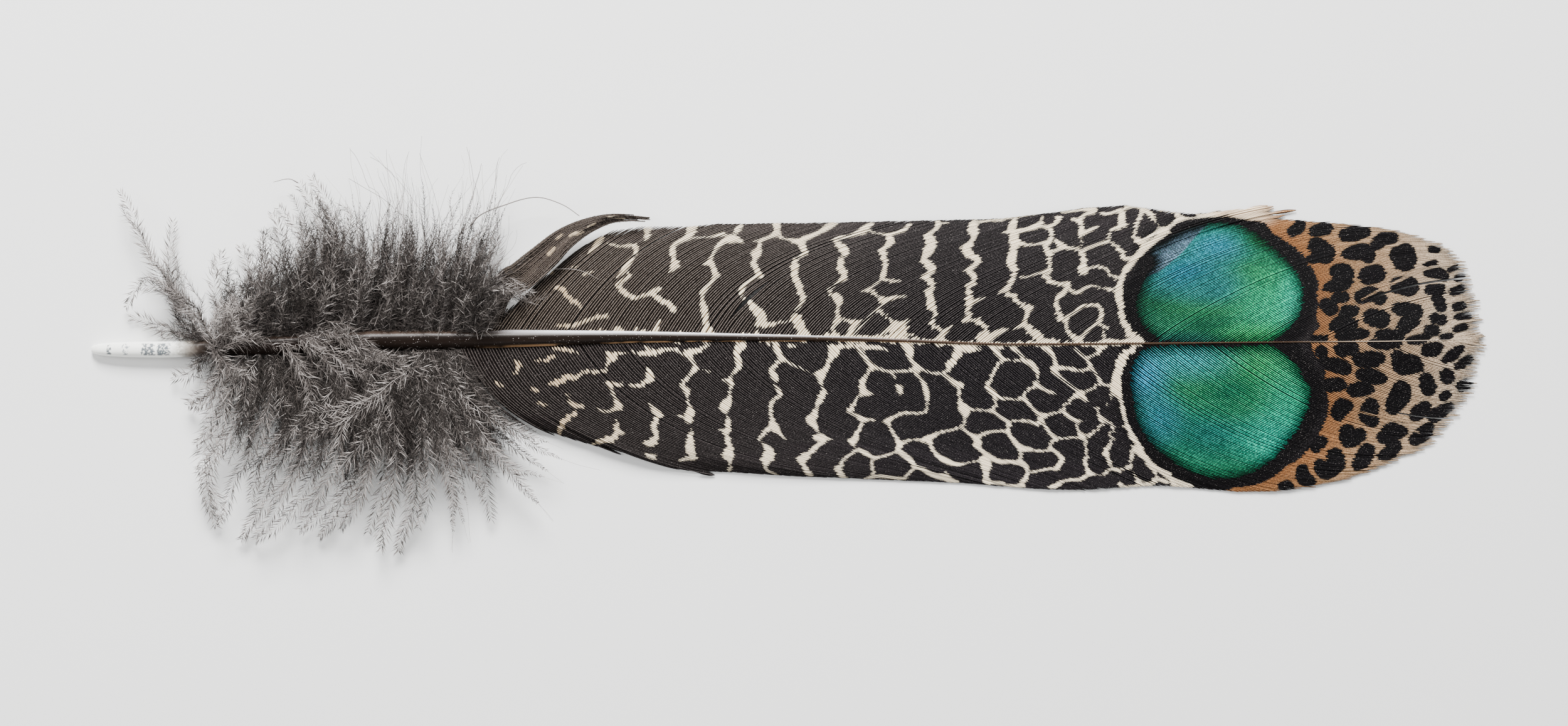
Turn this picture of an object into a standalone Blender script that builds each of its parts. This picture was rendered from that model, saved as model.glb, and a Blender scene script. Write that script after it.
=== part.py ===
"""Tail feather of a peacock-pheasant, lying flat with its upper side up.

One grown piece: a quill (clear hollow calamus, then the solid brown rachis), a vane on each
side of the rachis, a loose curled strip of vane beside the base of the left vane, and the
downy barbs of the base drawn as locks.  X runs from the cut end of the quill to the tip,
+Y is the left vane, +Z is up.  The flat underside of the rachis lies in the plane z = 0.
"""
import math

import bmesh
import bpy
import numpy as np
from mathutils import Vector

# Driving dimensions, metres
LENGTH = 0.2000            # quill end to feather tip
PER_METRE = 11050.0        # drawing grid units to the metre (the feather is 2210 units long)
MID_X = 1252.0             # grid x of the middle of the length
MID_Y = 559.0              # grid y of the middle of the width; grid y runs down
FLAT_SIDES = 12            # sides of the rachis section, one of them flat on z = 0
VANE_THICK = 0.00045       # ramus depth of the vane
VANE_CURVES = 40           # barb lines that carry each vane's plate
VANE_COLUMNS = 10          # divisions along a barb line
LOCK_WIDTH = 0.0034        # widest part of a downy lock
LOCK_THICK = 0.0012
LOCK_STEPS = 7

# Shaft: grid x, grid y of the centre line, width in grid units, height in metres
SHAFT = (
    (147, 557.0, 11.0, 0.0010), (152, 557.0, 14.0, 0.0013), (163, 557.0, 19.0, 0.0018),
    (178, 557.0, 22.0, 0.0021), (210, 557.0, 25.0, 0.0023), (258, 557.0, 26.0, 0.0024),
    (322, 555.0, 27.5, 0.0026), (372, 552.5, 30.5, 0.0028), (426, 550.0, 33.0, 0.0030),
    (500, 546.0, 33.5, 0.0031), (591, 542.0, 33.5, 0.0031), (690, 540.5, 32.5, 0.0030),
    (783, 540.0, 31.0, 0.0029), (890, 538.5, 26.0, 0.0025), (1000, 537.0, 20.5, 0.0021),
    (1130, 537.5, 15.0, 0.0018), (1268, 539.0, 11.5, 0.0015), (1360, 540.5, 9.0, 0.0013),
    (1446, 543.0, 7.5, 0.0012), (1525, 546.5, 6.5, 0.0011), (1600, 549.0, 6.2, 0.0011),
    (1700, 548.5, 6.0, 0.0010), (1830, 547.3, 5.8, 0.0010), (1957, 546.0, 5.6, 0.0009),
    (2085, 545.0, 5.2, 0.0009), (2212, 544.0, 5.0, 0.0008), (2290, 542.4, 4.6, 0.0007),
    (2340, 541.0, 4.2, 0.0007), (2357, 540.3, 3.6, 0.0006),
)

# Outer edges of the two vanes, grid units, base to tip
LEFT_EDGE = (
    (802, 523), (831, 480), (878, 432), (926, 394), (974, 368), (1022, 361), (1094, 361),
    (1150, 357), (1300, 355), (1400, 353), (1500, 351), (1600, 348), (1661, 341), (1733, 331),
    (1794, 326.5), (1824, 331), (1875, 339), (1906, 344), (1967, 334), (2008, 337),
    (2062, 340), (2100, 353), (2161, 358), (2212, 365), (2253, 375), (2289, 388),
    (2314, 406), (2330, 426), (2343, 454), (2351, 490), (2356, 525), (2358, 541),
)
RIGHT_EDGE = (
    (730, 561), (735, 600), (764, 628), (797, 657), (831, 671), (878, 691), (926, 705),
    (965, 715), (998, 719), (1046, 742), (1094, 750), (1179, 753), (1268, 759), (1357, 762),
    (1446, 766), (1536, 770), (1600, 775), (1651, 779), (1727, 781), (1804, 776),
    (1855, 774), (1906, 778), (1977, 784), (2034, 783), (2085, 775), (2136, 768),
    (2176, 755), (2217, 735), (2258, 719), (2290, 697), (2314, 673), (2330, 650),
    (2341, 622), (2350, 597), (2356, 571), (2358, 545),
)

# Lean of the barbs away from the shaft in degrees, at four distances out from the shaft
LEAN_STEPS = (0.0, 0.006, 0.012, 0.018)
LEFT_LEAN = (
    (800, 52, 47, 40, 28), (1000, 60, 50, 39, 22), (1150, 60, 45, 28, 14),
    (1300, 52, 37, 24, 12), (1450, 46, 33, 21, 12), (1600, 39, 30, 22, 15),
    (1800, 37, 30, 26, 21), (2000, 34, 27, 21, 15), (2100, 29, 24, 17, 9),
    (2200, 25, 20, 12, 3), (2300, 16, 11, 4, -4), (2357, 8, 3, 0, -6),
)
RIGHT_LEAN = (
    (740, 72, 58, 45, 20), (800, 66, 54, 32, 18), (900, 60, 49, 30, 16),
    (1000, 56, 44, 31, 19), (1150, 54, 41, 28, 14), (1300, 50, 38, 27, 12),
    (1450, 46, 36, 27, 14), (1600, 44, 37, 30, 20), (1800, 42, 36, 31, 26),
    (2000, 38, 32, 26, 21), (2100, 34, 27, 21, 14), (2200, 29, 22, 14, 6),
    (2300, 19, 12, 5, -2), (2357, 8, 4, 0, -4),
)

# Downy locks: run of each in grid units from its root on the shaft to its tip, then the
# height in metres of its middle and of its tip
LEFT_LOCKS = (
    ((330, 552), (300, 492), (252, 415), (197, 307), 0.0035, 0.0030),
    ((338, 550), (290, 505), (272, 436), (278, 354), 0.0020, 0.0012),
    ((345, 551), (296, 474), (214, 452), (203, 490), 0.0050, 0.0015),
    ((350, 552), (290, 530), (240, 515), (212, 505), 0.0015, 0.0008),
    ((362, 550), (352, 492), (345, 450), (356, 402), 0.0040, 0.0025),
    ((380, 550), (388, 490), (402, 440), (384, 393), 0.0030, 0.0015),
    ((402, 549), (424, 480), (428, 420), (420, 384), 0.0055, 0.0040),
    ((425, 549), (446, 470), (452, 400), (438, 340), 0.0035, 0.0020),
    ((450, 548), (478, 460), (486, 370), (448, 332), 0.0060, 0.0045),
    ((472, 547), (505, 450), (510, 360), (478, 292), 0.0040, 0.0020),
    ((495, 546), (528, 440), (535, 350), (500, 282), 0.0065, 0.0050),
    ((518, 545), (552, 440), (560, 340), (520, 280), 0.0030, 0.0015),
    ((540, 544), (575, 430), (575, 330), (560, 236), 0.0055, 0.0035),
    ((562, 544), (598, 430), (610, 330), (585, 262), 0.0070, 0.0050),
    ((585, 543), (622, 430), (640, 330), (602, 250), 0.0040, 0.0020),
    ((607, 542), (632, 430), (645, 330), (622, 247), 0.0060, 0.0040),
    ((628, 542), (648, 430), (645, 330), (653, 248), 0.0035, 0.0020),
    ((648, 542), (672, 430), (690, 330), (674, 252), 0.0060, 0.0040),
    ((668, 541), (694, 430), (704, 360), (700, 318), 0.0040, 0.0020),
    ((688, 541), (712, 430), (755, 330), (750, 240), 0.0065, 0.0040),
    ((706, 541), (732, 440), (768, 340), (770, 266), 0.0040, 0.0015),
    ((722, 541), (748, 440), (782, 340), (796, 258), 0.0060, 0.0040),
    ((738, 541), (765, 440), (790, 340), (836, 264), 0.0035, 0.0020),
    ((752, 541), (776, 470), (790, 430), (796, 380), 0.0050, 0.0030),
    ((764, 541), (756, 490), (786, 458), (838, 470), 0.0045, 0.0035),
)
RIGHT_LOCKS = (
    ((332, 558), (318, 584), (300, 598), (278, 600), 0.0025, 0.0012),
    ((346, 558), (352, 600), (340, 632), (306, 650), 0.0040, 0.0020),
    ((362, 557), (372, 620), (350, 670), (313, 706), 0.0025, 0.0010),
    ((384, 556), (396, 640), (350, 720), (318, 752), 0.0050, 0.0030),
    ((404, 556), (384, 660), (330, 740), (345, 836), 0.0030, 0.0012),
    ((425, 555), (432, 660), (384, 750), (360, 828), 0.0060, 0.0035),
    ((448, 554), (470, 660), (432, 770), (389, 859), 0.0035, 0.0015),
    ((472, 553), (500, 660), (470, 770), (410, 856), 0.0060, 0.0035),
    ((496, 552), (526, 650), (505, 750), (458, 820), 0.0040, 0.0020),
    ((520, 551), (550, 660), (530, 760), (480, 844), 0.0065, 0.0040),
    ((545, 550), (572, 660), (560, 770), (512, 853), 0.0035, 0.0015),
    ((568, 549), (592, 660), (588, 770), (548, 842), 0.0055, 0.0035),
    ((590, 549), (610, 660), (612, 780), (588, 848), 0.0035, 0.0015),
    ((612, 549), (630, 660), (632, 780), (610, 874), 0.0060, 0.0030),
    ((634, 548), (656, 660), (668, 780), (638, 879), 0.0035, 0.0012),
    ((652, 548), (676, 660), (690, 770), (670, 840), 0.0055, 0.0035),
    ((668, 548), (696, 650), (722, 760), (720, 882), 0.0035, 0.0012),
    ((682, 548), (708, 660), (740, 780), (752, 864), 0.0050, 0.0025),
    ((694, 547), (722, 640), (766, 740), (784, 828), 0.0030, 0.0012),
    ((704, 547), (740, 650), (810, 750), (882, 830), 0.0045, 0.0020),
    ((714, 547), (752, 650), (835, 722), (900, 770), 0.0030, 0.0012),
    ((724, 547), (762, 640), (852, 708), (956, 748), 0.0042, 0.0020),
)
# Loose curled strip of vane beside the base of the left vane: grid x, y, width, height
STRIP = (
    (748, 528, 12, 0.0016), (762, 490, 26, 0.0024), (790, 462, 34, 0.0032),
    (830, 440, 38, 0.0036), (872, 404, 34, 0.0036), (905, 374, 24, 0.0034),
    (945, 355, 14, 0.0030), (985, 346, 9, 0.0026), (1040, 350, 6, 0.0020),
)
STRIP_THICK = 0.0007

COLOURS = {
    "quill": (0.045, 0.030, 0.022),
    "vane": (0.030, 0.026, 0.022),
    "down": (0.21, 0.18, 0.16),
}


def grid(x, y):
    """Metres from drawing grid units."""
    return (x - MID_X) / PER_METRE, (MID_Y - y) / PER_METRE


def column(table, index, x):
    """Value of one column of a table at grid x."""
    return float(np.interp(x, [row[0] for row in table], [row[index] for row in table]))


def shaft_y(x_m):
    gx = x_m * PER_METRE + MID_X
    return (MID_Y - column(SHAFT, 1, gx)) / PER_METRE


def shaft_height(x_m):
    return column(SHAFT, 3, x_m * PER_METRE + MID_X)


def lean_at(table, x_m, out_m):
    """Lean of the barbs in radians at a place on the vane."""
    gx = x_m * PER_METRE + MID_X
    row = [column(table, k, gx) for k in (1, 2, 3, 4)]
    return math.radians(float(np.interp(out_m, LEAN_STEPS, row)))


def barb_line(edge, table, side, root_gx):
    """Points of one barb line in plan, from the shaft's centre line to the vane's edge."""
    ex = np.array([grid(*p)[0] for p in edge])
    ey = np.array([grid(*p)[1] for p in edge])
    x = (root_gx - MID_X) / PER_METRE
    y = shaft_y(x)
    pts = [(x, y)]
    step = 0.0003
    for _ in range(400):
        out = abs(y - shaft_y(x))
        a = lean_at(table, x, out)
        x += step * math.cos(a)
        y += side * step * math.sin(a)
        limit = float(np.interp(x, ex, ey))
        if side * (y - limit) >= 0.0 and out > 0.0 or x >= ex[-1]:
            pts.append((x, limit if x < ex[-1] else y))
            break
        pts.append((x, y))
    return np.array(pts)


def resample(pts, count):
    """Evenly spaced points along a run."""
    pts = np.asarray(pts, float)
    seg = np.linalg.norm(np.diff(pts, axis=0), axis=1)
    dist = np.concatenate([[0.0], np.cumsum(seg)])
    want = np.linspace(0.0, dist[-1], count)
    return np.stack([np.interp(want, dist, pts[:, k]) for k in range(pts.shape[1])], axis=1)


def smooth_run(pts, count):
    """Smooth curve through a few points, evenly spaced."""
    pts = np.asarray(pts, float)
    ext = np.vstack([2 * pts[0] - pts[1], pts, 2 * pts[-1] - pts[-2]])
    out = []
    for i in range(1, len(ext) - 2):
        p0, p1, p2, p3 = ext[i - 1:i + 3]
        for t in np.linspace(0.0, 1.0, 16, endpoint=False):
            a = 2 * p1 + (p2 - p0) * t
            b = (2 * p0 - 5 * p1 + 4 * p2 - p3) * t * t
            c = (3 * p1 - p0 - 3 * p2 + p3) * t ** 3
            out.append(0.5 * (a + b + c))
    out.append(pts[-1])
    return resample(out, count)


def material(name):
    mat = bpy.data.materials.new(name)
    mat.use_nodes = True
    shader = mat.node_tree.nodes["Principled BSDF"]
    shader.inputs["Base Color"].default_value = (*COLOURS[name], 1.0)
    shader.inputs["Roughness"].default_value = 0.35 if name == "quill" else 0.7
    shader.inputs["Metallic"].default_value = 0.0
    return mat


def new_object(name, bm, mats, slot):
    for face in bm.faces:
        face.material_index = slot
    bmesh.ops.recalc_face_normals(bm, faces=bm.faces)
    mesh = bpy.data.meshes.new(name)
    bm.to_mesh(mesh)
    bm.free()
    for mat in mats:
        mesh.materials.append(mat)
    mesh.shade_smooth()
    mesh.set_sharp_from_angle(angle=math.radians(40))
    obj = bpy.data.objects.new(name, mesh)
    bpy.context.scene.collection.objects.link(obj)
    return obj


def loft(rings):
    """Closed body through rings of equal size, with a cap at each end."""
    bm = bmesh.new()
    loops = [[bm.verts.new(p) for p in ring] for ring in rings]
    for a, b in zip(loops, loops[1:]):
        n = len(a)
        for i in range(n):
            bm.faces.new((a[i], a[(i + 1) % n], b[(i + 1) % n], b[i]))
    bm.faces.new(list(reversed(loops[0])))
    bm.faces.new(loops[-1])
    return bm


def make_shaft(mats):
    """Rachis and calamus: a tapering rod, flat underneath along its whole length."""
    phis = [(k + 0.5) * 2 * math.pi / FLAT_SIDES for k in range(FLAT_SIDES)]
    top = max(math.sin(p) for p in phis)
    wide = max(math.cos(p) for p in phis)
    rings = []
    for gx, gy, width, height in SHAFT:
        x, y = grid(gx, gy)
        half = 0.5 * width / PER_METRE
        ring = []
        for p in phis:
            z = 0.5 * height * (math.sin(p) / top + 1.0)
            ring.append((x, y + half * math.cos(p) / wide, z))
        rings.append(ring)
    return new_object("shaft", loft(rings), mats, 0)


def vane_height(x_m, share, side):
    """Middle height of a vane at a share of the way out along its barb."""
    gx = x_m * PER_METRE + MID_X
    root = 0.55 * shaft_height(x_m) + 0.00012
    crown_at = (730, 1000, 1700, 2100, 2357)
    crown = float(np.interp(gx, crown_at, (0.0010, 0.0016, 0.0014, 0.0009, 0.0001)))
    margin = 0.00034
    fall = share ** 1.4
    return root + (margin - root) * fall + crown * 4.0 * share * (1.0 - share) ** 1.15


def make_vane(name, edge, table, side, first_gx, last_gx, mats):
    """Plate of one vane: barb lines side by side from the rachis to the outer edge."""
    t = np.linspace(0.0, 1.0, VANE_CURVES)
    roots = first_gx + (last_gx - first_gx) * t
    bm = bmesh.new()
    tops, unders = [], []
    for root in roots:
        line = resample(barb_line(edge, table, side, root), VANE_COLUMNS + 1)
        line[0, 1] -= side * 0.00012
        top_row, low_row = [], []
        for j, (x, y) in enumerate(line):
            share = j / VANE_COLUMNS
            mid = vane_height(x, share, side)
            half = 0.5 * VANE_THICK * (1.0 - 0.45 * share)
            low = max(mid - half, 0.00006 + 0.00004 * (j % 2))
            top_row.append(bm.verts.new((x, y, max(mid + half, low + 0.0002))))
            low_row.append(bm.verts.new((x, y, low)))
        tops.append(top_row)
        unders.append(low_row)
    for i in range(VANE_CURVES - 1):
        for j in range(VANE_COLUMNS):
            bm.faces.new((tops[i][j], tops[i + 1][j], tops[i + 1][j + 1], tops[i][j + 1]))
            bm.faces.new((unders[i][j], unders[i][j + 1], unders[i + 1][j + 1], unders[i + 1][j]))
    for j in range(VANE_COLUMNS):
        bm.faces.new((tops[0][j], tops[0][j + 1], unders[0][j + 1], unders[0][j]))
        bm.faces.new((tops[-1][j], unders[-1][j], unders[-1][j + 1], tops[-1][j + 1]))
    for i in range(VANE_CURVES - 1):
        bm.faces.new((tops[i][0], unders[i][0], unders[i + 1][0], tops[i + 1][0]))
        bm.faces.new((tops[i][-1], tops[i + 1][-1], unders[i + 1][-1], unders[i][-1]))
    bmesh.ops.triangulate(bm, faces=bm.faces[:])
    return new_object(name, bm, mats, 1)


def blade(name, run, widths, thicks, mats, slot):
    """Flat tapering blade along a run in space, four-sided in section."""
    rings = []
    for i, p in enumerate(run):
        a = run[max(i - 1, 0)]
        b = run[min(i + 1, len(run) - 1)]
        along = Vector(b - a).normalized()
        across = Vector((0, 0, 1)).cross(along).normalized()
        up = along.cross(across).normalized()
        w, h = 0.5 * widths[i], 0.5 * thicks[i]
        c = Vector(p)
        rings.append([c + across * w, c + up * h, c - across * w, c - up * h])
    for ring in rings:
        for v in ring:
            v.z = max(v.z, 0.00008)
    return new_object(name, loft(rings), mats, slot)


def make_lock(name, lock, mats):
    *plan, mid_z, tip_z = lock
    flat = smooth_run([grid(*p) for p in plan], LOCK_STEPS + 1)
    t = np.linspace(0.0, 1.0, LOCK_STEPS + 1)
    root_z = 0.5 * shaft_height(flat[0, 0])
    pull = 2 * mid_z - 0.5 * (root_z + tip_z)
    rise = root_z * (1 - t) ** 2 + 2 * pull * t * (1 - t) + tip_z * t ** 2
    run = np.column_stack([flat, np.maximum(rise, 0.0008)])
    share = np.interp(t, (0.0, 0.15, 0.5, 0.85, 1.0), (0.35, 0.8, 1.0, 0.6, 0.10))
    return blade(name, run, LOCK_WIDTH * share, LOCK_THICK * share, mats, 2)


def make_strip(mats):
    pts = [(*grid(x, y), h, w / PER_METRE) for x, y, w, h in STRIP]
    run = smooth_run(pts, 15)
    share = np.interp(np.linspace(0, 1, 15), (0.0, 0.1, 0.8, 1.0), (0.6, 1.0, 0.8, 0.5))
    return blade("strip", run[:, :3], run[:, 3], STRIP_THICK * share, mats, 1)


def join(base, extras):
    """Grow the pieces together into one closed body."""
    group = bpy.data.collections.new("grown_on")
    bpy.context.scene.collection.children.link(group)
    for obj in extras:
        bpy.context.scene.collection.objects.unlink(obj)
        group.objects.link(obj)
        obj.hide_render = True
        obj.display_type = "WIRE"
    mod = base.modifiers.new("grow", "BOOLEAN")
    mod.operation = "UNION"
    mod.operand_type = "COLLECTION"
    mod.collection = group
    mod.solver = "EXACT"
    mod.use_self = False
    mod.material_mode = "INDEX"
    return base


def main():
    for obj in list(bpy.data.objects):
        bpy.data.objects.remove(obj, do_unlink=True)
    mats = [material(n) for n in ("quill", "vane", "down")]
    feather = make_shaft(mats)
    feather.name = "feather"
    extras = [
        make_vane("left_vane", LEFT_EDGE, LEFT_LEAN, 1, 802, 2338, mats),
        make_vane("right_vane", RIGHT_EDGE, RIGHT_LEAN, -1, 730, 2338, mats),
        make_strip(mats),
    ]
    for k, lock in enumerate(LEFT_LOCKS):
        extras.append(make_lock(f"left_lock_{k:02d}", lock, mats))
    for k, lock in enumerate(RIGHT_LOCKS):
        extras.append(make_lock(f"right_lock_{k:02d}", lock, mats))
    join(feather, extras)


main()
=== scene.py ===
# %% [markdown]
# # A peacock-pheasant tail feather
# One feather, lying flat with its upper side up.  On the real thing every part grows out of the
# quill: a clear hollow calamus, a solid brown rachis, two vanes of hooked-together barbs, and
# loose downy barbs at the base.  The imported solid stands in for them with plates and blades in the
# same place; here each barb becomes its own closed mesh, and the markings are painted on barb by
# barb, the way pigment is laid down while a feather grows.

# %% Load the frame
import math

import bmesh
import bpy
import numpy as np
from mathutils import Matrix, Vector


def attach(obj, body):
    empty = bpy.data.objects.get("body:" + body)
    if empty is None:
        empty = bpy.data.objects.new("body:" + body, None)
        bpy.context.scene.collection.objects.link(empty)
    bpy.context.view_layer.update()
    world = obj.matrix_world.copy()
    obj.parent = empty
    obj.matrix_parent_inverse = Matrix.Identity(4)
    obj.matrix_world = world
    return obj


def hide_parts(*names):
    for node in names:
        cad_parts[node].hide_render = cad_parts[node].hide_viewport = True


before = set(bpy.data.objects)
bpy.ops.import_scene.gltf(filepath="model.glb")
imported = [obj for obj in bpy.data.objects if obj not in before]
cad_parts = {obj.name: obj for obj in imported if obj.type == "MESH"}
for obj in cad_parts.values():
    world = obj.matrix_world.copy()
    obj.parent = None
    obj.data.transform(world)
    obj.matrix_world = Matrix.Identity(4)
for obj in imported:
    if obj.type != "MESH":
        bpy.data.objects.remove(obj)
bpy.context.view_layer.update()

# %% [markdown]
# ## Drawing grid
# The outlines and markings are measured on a drawing grid with 11.05 units to the millimetre, x
# along the feather and y down.  `place` turns grid points into metres on the feather.

# %% Grid, shaft and outline
PER_METRE = 11050.0
MID_X = 1252.0
MID_Y = 559.0
rng = np.random.default_rng(17)

# Shaft: grid x, grid y of the centre line, width in grid units, height in millimetres
SHAFT = np.array((
    (147, 557.0, 9.0, 0.9), (150, 557.0, 13.0, 1.2), (158, 557.0, 18.0, 1.7),
    (178, 557.0, 22.0, 2.0), (210, 557.0, 25.0, 2.25), (258, 557.0, 26.0, 2.4),
    (322, 555.0, 27.0, 2.6), (372, 552.5, 30.5, 2.8), (426, 550.0, 33.0, 3.0),
    (500, 546.0, 33.5, 3.1), (591, 542.0, 33.5, 3.1), (690, 540.5, 32.5, 3.0),
    (783, 540.0, 31.0, 2.9), (890, 538.5, 26.0, 2.5), (1000, 537.0, 20.5, 2.1),
    (1130, 537.5, 15.0, 1.8), (1268, 539.0, 11.0, 1.5), (1360, 540.5, 8.0, 1.3),
    (1446, 543.0, 5.8, 1.2), (1525, 546.5, 4.8, 1.1), (1600, 549.0, 4.4, 1.1),
    (1700, 548.5, 4.0, 1.0), (1830, 547.3, 3.6, 1.0), (1957, 546.0, 3.1, 0.9),
    (2085, 545.0, 2.6, 0.9), (2212, 544.0, 2.2, 0.8), (2290, 542.4, 1.8, 0.7),
    (2340, 541.0, 1.4, 0.7), (2356, 540.3, 1.0, 0.6),
))

LEFT_EDGE = (
    (760, 521), (786, 512), (809, 493), (838, 472), (869, 441), (926, 394), (974, 368),
    (1022, 361), (1094, 361),
    (1150, 357), (1300, 355), (1400, 353), (1500, 351), (1600, 348), (1661, 341), (1733, 331),
    (1794, 327), (1824, 331), (1875, 338), (1906, 341), (1940, 338), (1975, 333),
    (2008, 336), (2030, 338), (2034, 349), (2062, 350), (2100, 353), (2161, 358),
    (2212, 365), (2253, 375), (2289, 388), (2314, 404), (2326, 420), (2330, 426),
    (2337, 445), (2344, 470), (2350, 495), (2355, 525), (2358, 541),
)
RIGHT_EDGE = (
    (730, 561), (735, 600), (764, 628), (797, 657), (831, 673), (878, 691), (926, 705),
    (965, 715), (998, 722), (1046, 742), (1094, 750), (1179, 753), (1268, 759), (1357, 762),
    (1446, 766), (1536, 770), (1600, 775), (1651, 779), (1727, 781), (1804, 776),
    (1855, 774), (1906, 778), (1977, 784), (2034, 783), (2085, 777), (2136, 766),
    (2176, 753), (2217, 735), (2258, 719), (2285, 703), (2298, 680), (2318, 662),
    (2334, 640), (2341, 618), (2350, 590), (2356, 571), (2358, 545),
)

# Lean of the barbs away from the shaft in degrees, 0, 6, 12 and 18 mm out from it
LEAN_STEPS = (0.0, 0.006, 0.012, 0.018)
LEFT_LEAN = np.array((
    (740, 62, 55, 45, 30), (800, 58, 49, 40, 28), (1000, 61, 50, 39, 22),
    (1150, 60, 45, 28, 14), (1300, 52, 37, 24, 12), (1450, 46, 33, 21, 12),
    (1600, 39, 30, 22, 15), (1800, 37, 30, 26, 21), (2000, 34, 27, 21, 13),
    (2100, 29, 24, 16, 4), (2200, 25, 20, 10, -6), (2300, 16, 11, 2, -14), (2357, 8, 3, -2, -16),
))
RIGHT_LEAN = np.array((
    (740, 72, 58, 45, 20), (800, 66, 54, 32, 18), (900, 60, 49, 30, 16),
    (1000, 56, 44, 31, 19), (1150, 54, 41, 28, 14), (1300, 50, 38, 27, 12),
    (1450, 46, 36, 27, 14), (1600, 44, 37, 30, 20), (1800, 42, 36, 31, 26),
    (2000, 38, 32, 26, 18), (2100, 35, 29, 21, 7), (2200, 30, 22, 11, -5),
    (2300, 19, 11, 2, -12), (2357, 8, 3, -4, -14),
))


def place(x, y):
    """Metres on the feather from drawing grid units."""
    return (np.asarray(x) - MID_X) / PER_METRE, (MID_Y - np.asarray(y)) / PER_METRE


def grid_x(x):
    return np.asarray(x) * PER_METRE + MID_X


def shaft_y(x):
    return (MID_Y - np.interp(grid_x(x), SHAFT[:, 0], SHAFT[:, 1])) / PER_METRE


def shaft_half(x):
    return 0.5 * np.interp(grid_x(x), SHAFT[:, 0], SHAFT[:, 2]) / PER_METRE


def shaft_height(x):
    return 0.001 * np.interp(grid_x(x), SHAFT[:, 0], SHAFT[:, 3])


def spaced(pts, count):
    """Evenly spaced points along a run."""
    pts = np.asarray(pts, float)
    dist = np.concatenate([[0.0], np.cumsum(np.linalg.norm(np.diff(pts[:, :2], axis=0), axis=1))])
    want = np.linspace(0.0, dist[-1], count)
    return np.stack([np.interp(want, dist, pts[:, k]) for k in range(pts.shape[1])], axis=1)


def smooth(pts, count):
    """Smooth curve through a few points, evenly spaced."""
    pts = np.asarray(pts, float)
    ext = np.vstack([2 * pts[0] - pts[1], pts, 2 * pts[-1] - pts[-2]])
    out = []
    t = np.linspace(0.0, 1.0, 12, endpoint=False)[:, None]
    for p0, p1, p2, p3 in zip(ext, ext[1:], ext[2:], ext[3:]):
        out.append(0.5 * (2 * p1 + (p2 - p0) * t + (2 * p0 - 5 * p1 + 4 * p2 - p3) * t ** 2
                          + (3 * p1 - p0 - 3 * p2 + p3) * t ** 3))
    out.append(pts[-1:])
    return spaced(np.vstack(out), count)


print("length, mm:", round(1000 * (SHAFT[-1, 0] - SHAFT[0, 0]) / PER_METRE, 1))

# %% [markdown]
# ## Mesh helpers
# A barb is a thin ridged rod: on a real feather the ramus is deeper than it is wide, with a crest
# along its upper side.  `rods` sweeps a small three-cornered section along many paths at once and
# caps the ends, so that each barb is a closed body.  `spindles` makes the barbules, each a bent
# needle that is widest in its first half, and `spikes` makes plain straight ones.  Each returns its
# points and faces with a few values per point, and `build` joins them into one object.
#
# A bevelled curve would sweep rods along their paths, and create_cone would make the needles.
# Here there are about 1,900 rods and 105,000 needles.  In a trial, 4,000 cones in one mesh took
# 16 s, but 10,000 in meshes of 50 took only 1.4 s, so operators would have served as well, in
# small meshes joined afterwards.  These helpers work the points out in arrays instead, in an
# order that also gives every point its barb's number and its distance along it, from which the
# markings are drawn.  The quill and the floor, which are single forms, are made by operators.

# %% Rods and needles
RIDGE = ((-1.05, -0.30), (1.05, -0.30), (0.0, 0.55))
ROUND = ((-0.87, -0.5), (0.87, -0.5), (0.0, 1.0))


def unit(v):
    return v / (np.linalg.norm(v, axis=-1, keepdims=True) + 1e-15)


def rods(paths, radii, section=RIDGE):
    """Closed rods along paths (each n x 3), upright section scaled by each point's radius."""
    sec = np.asarray(section, float)
    corner3 = np.arange(3)
    out = {k: [] for k in ("verts", "faces", "corner", "owner", "share", "run", "side")}
    start = 0
    for i, (path, radius) in enumerate(zip(paths, radii)):
        n = len(path)
        along = unit(np.gradient(path, axis=0))
        side = unit(np.column_stack([along[:, 1], -along[:, 0], np.zeros(n)]))
        up = np.cross(side, along)
        r = np.asarray(radius)[:, None, None]
        offset = sec[None, :, :1] * side[:, None] + sec[None, :, 1:] * up[:, None]
        ring = path[:, None] + r * offset
        out["verts"].append(ring.reshape(-1, 3))
        a = start + 3 * np.arange(n - 1)[:, None] + corner3
        b = start + 3 * np.arange(n - 1)[:, None] + (corner3 + 1) % 3
        out["faces"] += np.stack([a, a + 3, b + 3, b], axis=-1).reshape(-1, 4).tolist()
        last = start + 3 * n - 1
        out["faces"] += [[start, start + 1, start + 2], [last, last - 1, last - 2]]
        out["side"].append(np.append(np.tile(corner3, n - 1), (3, 3)))
        out["corner"].append(np.tile(corner3, n))
        out["owner"].append(np.full(3 * n, i))
        out["share"].append(np.repeat(np.linspace(0, 1, n), 3))
        steps = np.linalg.norm(np.diff(path, axis=0), axis=1)
        out["run"].append(np.repeat(np.append(0.0, np.cumsum(steps)), 3))
        start += 3 * n
    return {k: v if k == "faces" else np.concatenate(v) for k, v in out.items()}


def three_round(centre, along, radius):
    """Three points round each centre, square to the direction of its needle."""
    ref = np.where(np.abs(along[:, 2:]) > 0.9, [[1.0, 0, 0]], [[0, 0, 1.0]])
    u = unit(np.cross(along, ref))
    w = np.cross(u, along)
    points = []
    for a in (90, 210, 330):
        c, s = math.cos(math.radians(a)), math.sin(math.radians(a))
        points.append(centre + radius[:, None] * (c * u + s * w))
    return points


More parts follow.
